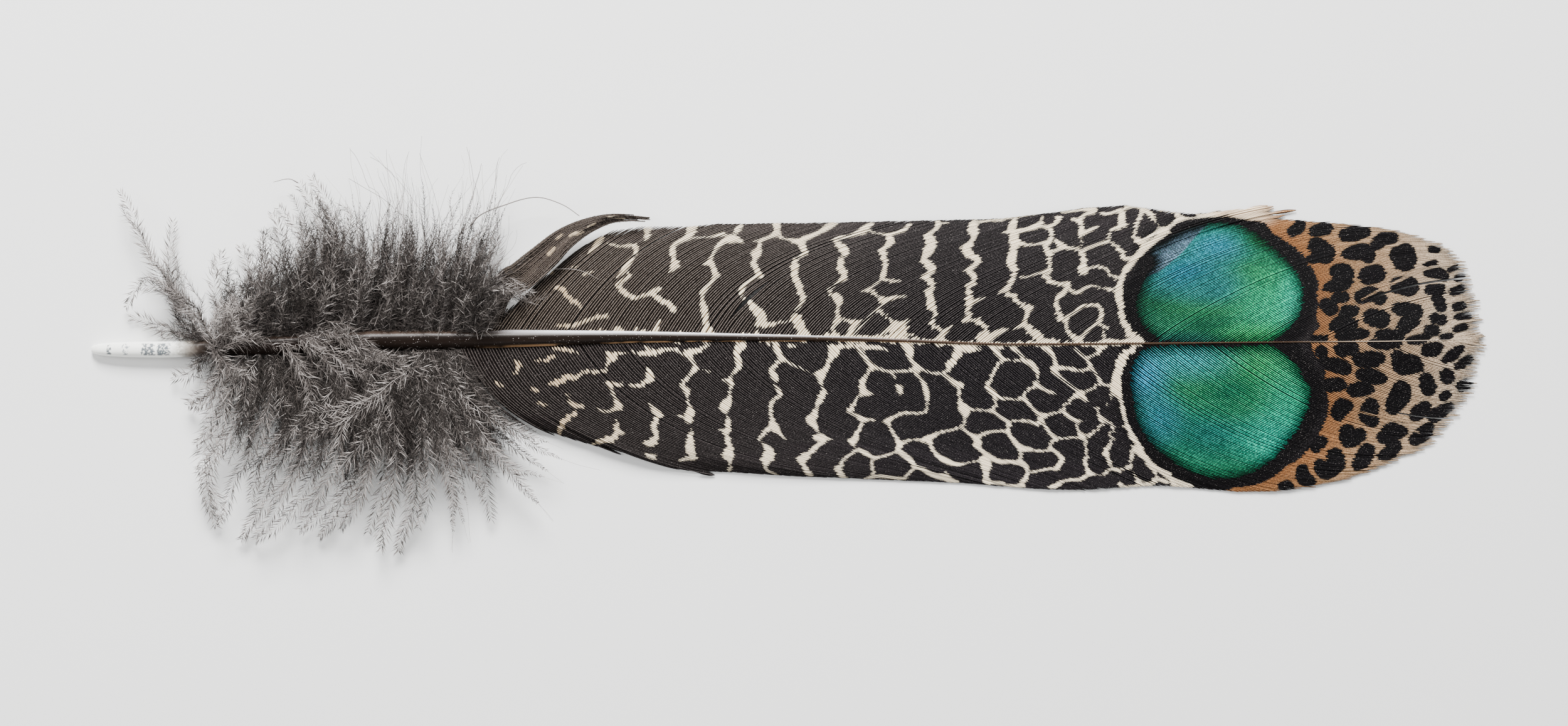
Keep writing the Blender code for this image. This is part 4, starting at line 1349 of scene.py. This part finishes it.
# %% Down paths
LEFT_DOWN = (
    ((330, 552), (300, 492), (252, 415), (197, 307), 3.5, 3.0, 0),
    ((338, 550), (290, 505), (272, 436), (278, 354), 2.0, 1.2, 0),
    ((345, 551), (296, 474), (214, 452), (203, 490), 5.0, 1.5, 0),
    ((350, 552), (290, 530), (240, 515), (212, 505), 1.5, 0.8, 0),
    ((362, 550), (352, 492), (345, 450), (356, 402), 4.0, 2.5, 0),
    ((380, 550), (388, 490), (402, 440), (384, 393), 3.0, 1.5, 0),
    ((402, 549), (424, 480), (428, 420), (420, 384), 5.5, 4.0, 0),
    ((425, 549), (446, 470), (452, 400), (438, 340), 3.5, 2.0, 0),
    ((450, 548), (478, 460), (486, 370), (448, 332), 6.0, 4.5, 0),
    ((472, 547), (505, 450), (510, 360), (478, 292), 4.0, 2.0, 0),
    ((495, 546), (528, 440), (535, 350), (500, 282), 6.3, 5.0, 0),
    ((518, 545), (552, 440), (560, 340), (520, 280), 3.0, 1.5, 0.2),
    ((540, 544), (575, 430), (575, 330), (560, 236), 5.5, 3.5, 0.5),
    ((562, 544), (598, 430), (610, 330), (585, 262), 6.6, 5.0, 0.4),
    ((585, 543), (622, 430), (640, 330), (602, 250), 4.0, 2.0, 0.6),
    ((607, 542), (632, 430), (645, 330), (622, 247), 6.0, 4.0, 0.7),
    ((628, 542), (648, 430), (645, 330), (653, 248), 3.5, 2.0, 0.7),
    ((648, 542), (672, 430), (690, 330), (674, 252), 6.0, 4.0, 0.7),
    ((668, 541), (694, 430), (704, 360), (700, 318), 4.0, 2.0, 0.2),
    ((688, 541), (712, 430), (755, 330), (750, 240), 6.3, 4.0, 0.6),
    ((706, 541), (732, 440), (768, 340), (770, 266), 4.0, 1.5, 0.4),
    ((722, 541), (748, 440), (782, 340), (796, 258), 6.0, 4.0, 0.7),
    ((738, 541), (765, 440), (790, 340), (836, 264), 3.5, 2.0, 0.7),
    ((752, 541), (776, 470), (790, 430), (796, 380), 5.0, 3.0, 0),
    ((764, 541), (756, 490), (786, 458), (838, 470), 4.5, 3.5, 0),
)
RIGHT_DOWN = (
    ((332, 558), (318, 584), (300, 598), (278, 600), 2.5, 1.2, 0),
    ((346, 558), (352, 600), (340, 632), (306, 650), 4.0, 2.0, 0),
    ((362, 557), (372, 620), (350, 670), (313, 706), 2.5, 1.0, 0),
    ((384, 556), (396, 640), (350, 720), (318, 752), 5.0, 3.0, 0),
    ((404, 556), (384, 660), (330, 740), (345, 836), 3.0, 1.2, 0),
    ((425, 555), (432, 660), (384, 750), (360, 828), 6.0, 3.5, 0),
    ((448, 554), (470, 660), (432, 770), (389, 859), 3.5, 1.5, 0),
    ((472, 553), (500, 660), (470, 770), (410, 856), 6.0, 3.5, 0),
    ((496, 552), (526, 650), (505, 750), (458, 820), 4.0, 2.0, 0),
    ((520, 551), (550, 660), (530, 760), (480, 844), 6.3, 4.0, 0),
    ((545, 550), (572, 660), (560, 770), (512, 853), 3.5, 1.5, 0),
    ((568, 549), (592, 660), (588, 770), (548, 842), 5.5, 3.5, 0),
    ((590, 549), (610, 660), (612, 780), (588, 848), 3.5, 1.5, 0),
    ((612, 549), (630, 660), (632, 780), (610, 874), 6.0, 3.0, 0),
    ((634, 548), (656, 660), (668, 780), (638, 879), 3.5, 1.2, 0),
    ((652, 548), (676, 660), (690, 770), (670, 840), 5.5, 3.5, 0),
    ((668, 548), (696, 650), (722, 760), (720, 882), 3.5, 1.2, 0.1),
    ((682, 548), (708, 660), (740, 780), (752, 864), 5.0, 2.5, 0.2),
    ((694, 547), (722, 640), (766, 740), (784, 828), 3.0, 1.2, 0),
    ((704, 547), (740, 650), (810, 750), (882, 830), 4.5, 2.0, 0.1),
    ((714, 547), (752, 650), (835, 722), (900, 770), 3.0, 1.2, 0.1),
    ((724, 547), (762, 640), (852, 708), (956, 748), 4.2, 2.0, 0.2),
)
CROSSING = (
    ((470, 520), (520, 552), (580, 590), (650, 602), 5.2, 4.5, 0),
    ((480, 515), (545, 535), (590, 575), (606, 640), 5.6, 4.0, 0),
    ((455, 525), (500, 560), (545, 600), (560, 650), 5.0, 4.0, 0),
    ((500, 520), (560, 545), (640, 585), (700, 590), 5.0, 4.2, 0),
    ((440, 530), (480, 575), (500, 620), (495, 680), 5.2, 4.5, 0),
    ((340, 530), (352, 558), (372, 590), (410, 600), 4.6, 4.2, 0),
    ((335, 575), (350, 555), (372, 530), (420, 515), 4.8, 4.4, 0),
    ((350, 590), (345, 560), (350, 530), (372, 500), 4.6, 5.0, 0),
    ((345, 580), (362, 552), (400, 540), (440, 552), 4.6, 4.0, 0),
)


# Lowest and highest place of a downy stem, and of the ends of its barbules, in metres
STEM_HEIGHTS = (0.0003, 0.0073)
BARBULE_HEIGHTS = (0.0001, 0.0077)


def mid_points(lock, count=5):
    """A listed barb as evenly spaced plan points with its heights and bare share."""
    *plan, mid_z, tip_z, bare = lock
    return smooth(np.column_stack(place(*np.array(plan, float).T)), count), mid_z, tip_z, bare


def down_path(points, mid_z, tip_z, shorten, n, wander=0.0003):
    """Path of one downy barb through plan points, rising from the shaft and sinking to its tip."""
    t = np.linspace(0, 1, n) * (1.0 - shorten)
    keep = smooth(points, 60)
    flat = np.column_stack([np.interp(t, np.linspace(0, 1, 60), keep[:, k]) for k in (0, 1)])
    root_z = 0.5 * shaft_height(points[0, 0])
    pull = 0.001 * (2 * mid_z - 0.5 * tip_z) - 0.5 * root_z
    z = root_z * (1 - t) ** 2 + 2 * pull * t * (1 - t) + 0.001 * tip_z * t ** 2
    wave = sum(np.sin(t[:, None] * f + rng.uniform(0, 6.3, 3)) * rng.normal(0, wander, 3)
               for f in (7, 13, 24))
    path = np.column_stack([flat, z]) + (wave - wave[0]) * np.minimum(1, 4 * t[:, None])
    path[:, 2] = np.clip(path[:, 2], *STEM_HEIGHTS)
    return path


def barbules(path, bare, length, spacing, spread, wild=0.5):
    """Base, tip and bend of the barbules of one barb, on both sides and a little out of its plane."""
    run = np.append(0, np.cumsum(np.linalg.norm(np.diff(path, axis=0), axis=1)))
    at = np.arange(0.0010, run[-1], spacing)
    at = np.repeat(at + rng.uniform(-0.3, 0.3, len(at)) * spacing, 2)
    at = at + rng.uniform(0, 0.5, len(at)) * spacing
    at = np.clip(at, 0, run[-1] * 0.995)
    tang = unit(np.gradient(path, axis=0))
    base = np.column_stack([np.interp(at, run, path[:, k]) for k in range(3)])
    tang = unit(np.column_stack([np.interp(at, run, tang[:, k]) for k in range(3)]))
    flat = unit(np.column_stack([tang[:, 1], -tang[:, 0], np.zeros(len(at))]))
    up = np.cross(flat, tang)
    roll = rng.normal(0, wild, len(at))
    both_sides = np.tile([1.0, -1.0], len(at) // 2)[:, None]
    out = both_sides * (np.cos(roll)[:, None] * flat) + np.sin(roll)[:, None] * up
    angle = np.radians(rng.normal(spread, 6 + 14 * wild, len(at)))
    share = at / run[-1]
    size = length * np.interp(share, (0, 0.15, 0.6, 0.9, 1.0), (0.6, 0.95, 1.0, 0.75, 0.45))
    if bare > 0:
        size *= np.interp(share, (0, 1 - bare - 0.2, 1 - bare, 1), (1, 0.8, 0.12, 0.0))
    size *= rng.uniform(0.65, 1.15, len(at))
    tip = base + size[:, None] * (np.cos(angle)[:, None] * tang + np.sin(angle)[:, None] * out)
    bend = size[:, None] * (out - 0.4 * tang) * rng.uniform(-0.02, 0.10, (len(at), 1))
    tip[:, 2] = np.clip(tip[:, 2], *BARBULE_HEIGHTS)
    keep = size > 0.00025
    return base[keep], tip[keep], bend[keep]


# %% [markdown]
# Grey-brown at the root, paler towards the fine ends.  The map that each piece carries for this
# finish is a plain chart of the two values that it reads.

# %% Down material
down = Sheet("downy barbs")
shade = down.ramp(down.attr("tint"), ((0.0, (0.009, 0.0075, 0.0065)), (0.35, (0.030, 0.0255, 0.023)),
                                      (0.6, (0.082, 0.070, 0.064)), (0.82, (0.21, 0.185, 0.172)),
                                      (1.0, (0.46, 0.42, 0.395))))
shade = down.mix(down.span(down.attr("fine"), 0.2, 1.0, 0.0, 0.3), shade, (0.14, 0.125, 0.117))
down_mat = down.finish(base_color=shade, roughness=0.5, specular_ior_level=0.15)

# %% Down meshes


def finish_down(name, paths, radii, tones, curved, straight=()):
    """Join stems and barbules; each set of barbules comes with the tone of its own stem."""
    parts, fine, tint, corner = [rods(paths, radii, ROUND)], [], [], []
    stems = parts[0]
    fine.append(0.30 * stems["share"] ** 2)
    tint.append(np.asarray(tones)[stems["owner"]])
    for sets, shape in ((curved, spindles), (straight, spikes)):
        if len(sets) == 0:
            continue
        base, tip, bend = (np.vstack([f[i] for f, _ in sets]) for i in range(3))
        tone = np.concatenate([np.full(len(f[0]), t) for f, t in sets]) + rng.normal(0, 0.28, len(base))
        thick = rng.uniform(0.000032, 0.000048, len(base)) * (1.6 if shape is spindles else 1.05)
        part = shape(base, tip, bend, thick) if shape is spindles else shape(base, tip, thick)
        parts.append(part)
        fine.append(0.10 + 0.90 * part["share"])
        tint.append(tone[part["owner"]])
    fine = np.concatenate(fine)
    tint = np.clip(np.concatenate(tint), 0, 1)
    corner = np.concatenate([part["corner"] for part in parts])

    def chart(loops, side):
        return np.column_stack([0.01 + 0.96 * fine[loops] + 0.006 * (corner[loops] == 1),
                                0.01 + 0.95 * tint[loops] + 0.012 * corner[loops]])
    return build(name, parts, {"fine": fine, "tint": tint}, down_mat, chart)


def make_down(name, locks, first, tone, trim, extra=(), hairs=()):
    """One layer of down: the listed barbs, or companions that cross between them.

    trim gives the range of the share by which a companion is shorter than the barbs beside it.
    """
    paths, radii, tones, curved, straight = [], [], [], [], []

    def add(path, bare, length, spacing, shade, thick=0.00005, loose=None):
        paths.append(path)
        radii.append(thick * np.linspace(1.0, 0.32 if bare < 0.3 else 0.6, len(path)))
        tones.append(shade + 0.15)
        if length and loose is None:
            curved.append((barbules(path, bare, length, spacing, 38, 0.35), shade))
        elif length:
            straight.append((barbules(path, bare, length, spacing, 40, loose), shade))

    listed = [mid_points(lock) for lock in locks]
    for k, (points, mid_z, tip_z, bare) in enumerate(listed):
        if first:
            add(down_path(points, mid_z, tip_z, 0.0, 30, 0.0001), bare, 0.0024, 0.00031, tone + 0.25)
        crowd = (2 if k < 4 else 8) if first else (3 if k < 4 else 19)
        for _ in range(crowd):
            other = listed[min(k + 1, len(locks) - 1)] if k > 3 else listed[k]
            f = rng.uniform(0, 1)
            mixed = (1 - f) * points + f * other[0]
            wild = 0.3 if k < 4 else 1.0
            loose = np.linspace(0, 1, 5)[:, None] * rng.normal(0, 0.0024 * wild, 2)
            loose = loose + rng.normal(0, 0.0007 * wild, (5, 2))
            loose[0] *= 0.3
            rise = (1 - f) * mid_z + f * other[1]
            # Painted shade: companions in the under layers, beneath the others, are painted 0.22 darker.
            add(down_path(mixed + loose, np.clip(rise + rng.normal(0, 1.0), 1.2, 6.4),
                          max((1 - f) * tip_z + f * other[2] + rng.normal(0, 0.8), 0.5),
                          rng.uniform(*trim), 22), 0.3 * bare,
                0.0022 * rng.uniform(0.7, 1.1), 0.00034,
                tone + rng.normal(0, 0.12) - 0.22 * (not first), loose=0.8)
    for lock, times, length, glow in extra:
        points, mid_z, tip_z, bare = mid_points(lock)
        for i in range(times):
            bent = points + np.linspace(0, 1, 5)[:, None] * rng.normal(0, 0.0016, 2) * (i > 0) \
                + rng.normal(0, 0.0004, 2) * (i > 0)
            add(down_path(bent, mid_z + rng.normal(0, 0.3), tip_z, rng.uniform(0, 0.3) * (i > 0),
                          24, 0.00015),
                bare, length, 0.00034, tone + glow, loose=0.7 if i else None)
    for *plan, (z0, z1), thick in hairs:
        flat = smooth(np.column_stack(place(*np.array(plan, float).T)), 30)
        add(np.column_stack([flat, np.linspace(z0, z1, 30) * 0.001]), 1.0, 0, 0, tone, thick)
    return finish_down(name, paths, radii, tones, curved, straight)


# Long free hairs: places on the grid, heights of both ends in millimetres, thickness in metres
HAIRS = (
    ((751, 362), (766, 345), (786, 335), (803, 329), (837, 318), (865, 316),
     (900, 328), (925, 345), (4.0, 3.0), 0.00011),
    ((700, 541), (722, 400), (740, 367), (755, 322), (760, 297), (767, 276), (770, 262), (3.0, 4.5), 0.00006),
    ((600, 520), (655, 364), (638, 341), (617, 320), (585, 301), (560, 286), (4.0, 5.0), 0.00006),
    ((580, 500), (610, 331), (590, 297), (581, 272), (571, 251), (562, 240), (4.5, 5.0), 0.00005),
    ((640, 480), (636, 304), (615, 266), (594, 252), (5.0, 5.0), 0.00005),
    ((690, 480), (675, 349), (663, 322), (642, 293), (619, 270), (593, 244), (5.0, 5.5), 0.00004),
    ((645, 480), (638, 364), (635, 337), (625, 303), (621, 264), (620, 240), (5.0, 5.5), 0.00004),
    ((655, 480), (648, 364), (647, 337), (646, 293), (649, 264), (656, 243), (5.0, 5.5), 0.00004),
    ((712, 480), (708, 367), (705, 349), (694, 306), (682, 272), (672, 246), (4.5, 5.5), 0.00004),
    ((720, 480), (736, 367), (744, 345), (757, 310), (757, 284), (753, 259), (747, 236), (4.5, 5.5), 0.00005),
    ((740, 480), (768, 367), (774, 349), (788, 312), (793, 287), (794, 268), (799, 253), (4.5, 5.5), 0.00005),
    ((750, 480), (780, 367), (790, 345), (799, 322), (812, 297), (818, 280),
     (830, 266), (842, 261), (4.5, 5.0), 0.00005),
    ((478, 292), (462, 286), (438, 291), (3.0, 2.5), 0.00008),
    ((345, 557), (392, 553), (400, 572), (425, 588), (4.0, 2.5), 0.00004),
)
LEFT_EXTRA = [(lock, 4, 0.0021, 0.02) for lock in CROSSING] + [
    (lock, 7, 0.0015, 0.55) for lock in (
        ((352, 548), (350, 530), (352, 510), (358, 488), 4.8, 6.2, 0),
        ((368, 548), (370, 528), (376, 505), (372, 484), 5.0, 6.6, 0),
        ((388, 547), (394, 525), (400, 505), (396, 480), 5.0, 6.4, 0))]
RIGHT_EXTRA = [(lock, 1, 0.0025, 0.38) for lock in (
    ((600, 552), (575, 672), (470, 760), (386, 861), 5.5, 1.5, 0),
    ((618, 551), (590, 680), (505, 785), (408, 859), 5.8, 1.5, 0),
    ((640, 550), (625, 680), (560, 780), (479, 844), 5.0, 1.2, 0),
    ((650, 550), (600, 700), (572, 790), (510, 855), 5.5, 1.5, 0),
    ((610, 560), (590, 650), (530, 680), (440, 695), 6.3, 4.0, 0),
    ((672, 549), (681, 648), (711, 701), (775, 775), 5.0, 2.0, 0),
    ((668, 548), (676, 640), (712, 740), (750, 865), 5.2, 1.5, 0.1),
    ((687, 560), (711, 642), (734, 683), (785, 730), 4.5, 2.0, 0),
    ((420, 556), (400, 600), (359, 625), (306, 648), 4.5, 1.5, 0),
    ((380, 556), (362, 640), (334, 740), (353, 830), 5.0, 1.5, 0),
    ((664, 552), (628, 625), (524, 680), (400, 776), 6.4, 3.0, 0),
    ((684, 552), (640, 600), (575, 640), (470, 668), 6.2, 4.6, 0),
    ((702, 556), (724, 612), (800, 722), (884, 832), 5.6, 2.4, 0.1),
    ((706, 556), (748, 640), (820, 680), (900, 716), 5.4, 3.0, 0.1),
    ((698, 556), (732, 672), (800, 735), (896, 768), 5.0, 2.2, 0.1),
    ((676, 556), (704, 692), (760, 752), (784, 828), 4.6, 2.0, 0.1),
    ((660, 556), (690, 690), (722, 790), (720, 880), 4.4, 1.5, 0.1),
    ((640, 556), (645, 680), (626, 780), (608, 872), 5.2, 1.5, 0),
    ((660, 556), (676, 690), (655, 800), (636, 880), 5.0, 1.4, 0),
    ((365, 556), (350, 650), (328, 730), (344, 828), 5.4, 1.6, 0),
    ((400, 560), (372, 590), (340, 612), (303, 646), 5.0, 2.2, 0),
    ((560, 556), (520, 640), (430, 720), (400, 800), 5.0, 2.0, 0))]
make_down("down_left_under", LEFT_DOWN, False, 0.58, (0.12, 0.6))
make_down("down_left_over", LEFT_DOWN, True, 0.62, (0.12, 0.6), LEFT_EXTRA, HAIRS)
make_down("down_right_under", RIGHT_DOWN, False, 0.38, (0.3, 0.7))
make_down("down_right_over", RIGHT_DOWN, True, 0.45, (0.3, 0.7), RIGHT_EXTRA)

# %% [markdown]
# ## Loose strip
# Beside the base of the left vane some twenty barbs have come unhooked and curl over in a strip
# of their own, with two fine pale barbs along the inside of it.

# %% Strip
STRIP = np.array((
    (790, 465, 38, 3.2), (830, 443, 45, 3.6), (872, 408, 42, 3.6), (905, 379, 33, 3.4),
    (945, 358, 21, 3.0), (985, 348, 12, 2.6), (1040, 350, 8, 2.0),
))
STRIP_MARKS = """
    575,265,16 612,235,12
    505,392,20 548,345,16
    675,242,12 732,215,10
    735,232,12 785,212,10
    830,172,6 890,140,6
    1000,85,8 1130,95,9"""


WISPS = (
    ((764, 541), (756, 490), (780, 455), (800, 460), (815, 468), (836, 472), (3.6, 3.6), 0.00005),
    ((768, 541), (790, 470), (822, 448), (847, 441), (870, 431), (895, 429), (914, 429.5),
     (933, 434), (956, 446), (3.0, 2.4), 0.00005),
)
# Radius of the strip's barbs in metres, by the share of their length, and of their barbules
STRIP_RADII = ((0, 0.2, 0.5, 1), (0.00017, 0.00015, 0.00014, 0.00007))
FUZZ_RADIUS = 0.00002


def make_strip(count=24):
    centre = smooth(np.column_stack([*place(STRIP[:, 0], STRIP[:, 1]), STRIP[:, 3] / 1000,
                                     STRIP[:, 2] / PER_METRE]), 90)
    tang = unit(np.gradient(centre[:, :2], axis=0))
    across = np.column_stack([tang[:, 1], -tang[:, 0]])
    paths, radii = [], []
    for k in range(count):
        u = k / (count - 1)
        off = (u - 0.5) * centre[:, 3]
        ribbon = np.column_stack([centre[:, :2] + off[:, None] * across,
                                  centre[:, 2] + 0.0004 * np.sin(5 * u + 9 * np.linspace(0, 1, 90))])
        ribbon = ribbon[:int(90 * rng.uniform(0.76, 1.0))]
        root = np.array([*place(744 + 52 * u, 531), 0.0019])
        knee = np.array([*place(756 + 50 * u, 498 - 4 * u), 0.0026])
        path = smooth(np.vstack([root, knee, ribbon[6::9], ribbon[-1]]), 76)
        path += rng.normal(0, 0.00005, 3)
        paths.append(path)
        radii.append(np.interp(np.linspace(0, 1, 76), *STRIP_RADII))
    swept = rods(paths, radii)
    plan = np.vstack([p[:, :2] for p in paths])
    marks = read_rows((780, 330, 5.227), STRIP_MARKS)
    ink = 1000 * np.minimum(MARK_REACH, -depth_in_marks(plan, marks))
    fuzz = [barbules(p, 0.0, 0.0007, 0.0004, 35) for p in paths]
    base, tip, bend = (np.vstack([f[i] for f in fuzz]) for i in range(3))
    hair = spindles(base, tip, bend, np.full(len(base), FUZZ_RADIUS))
    n = len(hair["verts"])
    m = len(swept["verts"])
    values = {
        "ink": np.append(np.repeat(ink, 3), np.full(n, 2.0)), "eye": np.full(m + n, -4.0),
        "tip": np.full(m + n, -2.0), "fold": np.full(m + n, -2.0),
        "crest": np.append(swept["corner"] == 2, np.full(n, 0.9)),
        "tint": np.append(rng.uniform(0, 1, count)[swept["owner"]], np.full(n, 0.7)),
        "row": np.append(swept["owner"], hair["owner"] % 97),
        "run": np.append(1000 * swept["run"], np.full(n, 5.0)),
        # Painted light for the strip, a little below the left vane's.
        "painted_light": np.full(m + n, 0.8),
    }
    rows = barb_rows(swept, count + 2, LONGEST_BARB)

    def flat_map(loops, side):
        uv = np.empty((len(loops), 2))
        mine = loops < m
        uv[mine] = rows(loops[mine], side[mine])
        k = loops[~mine] - m
        uv[~mine] = np.column_stack([0.02 + 0.9 * hair["share"][k], 0.96 + 0.01 * hair["corner"][k]])
        return uv
    build("loose_strip", [swept, hair], values, vane_mat, flat_map)


def make_wisps():
    paths, radii = [], []
    for *plan, (z0, z1), thick in WISPS:
        flat = smooth(np.column_stack(place(*np.array(plan, float).T)), 40)
        paths.append(np.column_stack([flat, np.linspace(z0, z1, 40) * 0.001]))
        radii.append(np.linspace(thick, 0.5 * thick, 40))
    fuzz = [(barbules(paths[0], 0, 0.0021, 0.0002, 40), 0.8),
            (barbules(paths[1], 0.5, 0.0009, 0.0005, 30), 0.8)]
    finish_down("wisps", paths, radii, (0.8, 0.9), fuzz)


make_strip()
make_wisps()

# %% [markdown]
# ## Stage
# A plain pale table, one soft light from the left vane's side, two weaker ones from the right and
# from beyond the quill's cut end, and a camera that looks straight down through a long lens.

# %% Floor, light and camera
bm = bmesh.new()
bmesh.ops.create_grid(bm, x_segments=1, y_segments=1, size=2.0)
floor_mesh = bpy.data.meshes.new("table")
bm.to_mesh(floor_mesh)
bm.free()
floor = bpy.data.objects.new("table", floor_mesh)
bpy.context.scene.collection.objects.link(floor)
paper = Sheet("table")
floor_mesh.materials.append(paper.finish(base_color=(0.78, 0.78, 0.77, 1.0), roughness=0.8))


def area_light(name, place_at, aim, size, power):
    data = bpy.data.lights.new(name, "AREA")
    data.shape = "SQUARE"
    data.size = size
    data.energy = power
    obj = bpy.data.objects.new(name, data)
    obj.location = place_at
    obj.rotation_euler = (Vector(aim) - Vector(place_at)).to_track_quat("-Z", "Y").to_euler()
    bpy.context.scene.collection.objects.link(obj)
    return obj


area_light("key", (-0.08, 0.50, 0.40), (0, 0, 0), 0.26, 17.0)
area_light("fill", (0.30, -0.5, 0.50), (0, 0, 0), 0.5, 2.2)
area_light("side", (-0.55, 0.12, 0.60), (0, 0, 0), 0.4, 4.5)
world = bpy.data.worlds.new("studio")
world.use_nodes = True
world.node_tree.nodes["Background"].inputs["Color"].default_value = (0.9, 0.92, 0.95, 1.0)
world.node_tree.nodes["Background"].inputs["Strength"].default_value = 0.30
bpy.context.scene.world = world

VIEW_WIDTH = 2500 / PER_METRE
camera_data = bpy.data.cameras.new("camera")
camera_data.sensor_width = 36.0
distance = 0.9
camera_data.lens = 36.0 * distance / VIEW_WIDTH
camera = bpy.data.objects.new("camera", camera_data)
cx, cy = place(1250.0, 578.5)
camera.location = (float(cx), float(cy), distance)
bpy.context.scene.collection.objects.link(camera)
bpy.context.scene.camera = camera
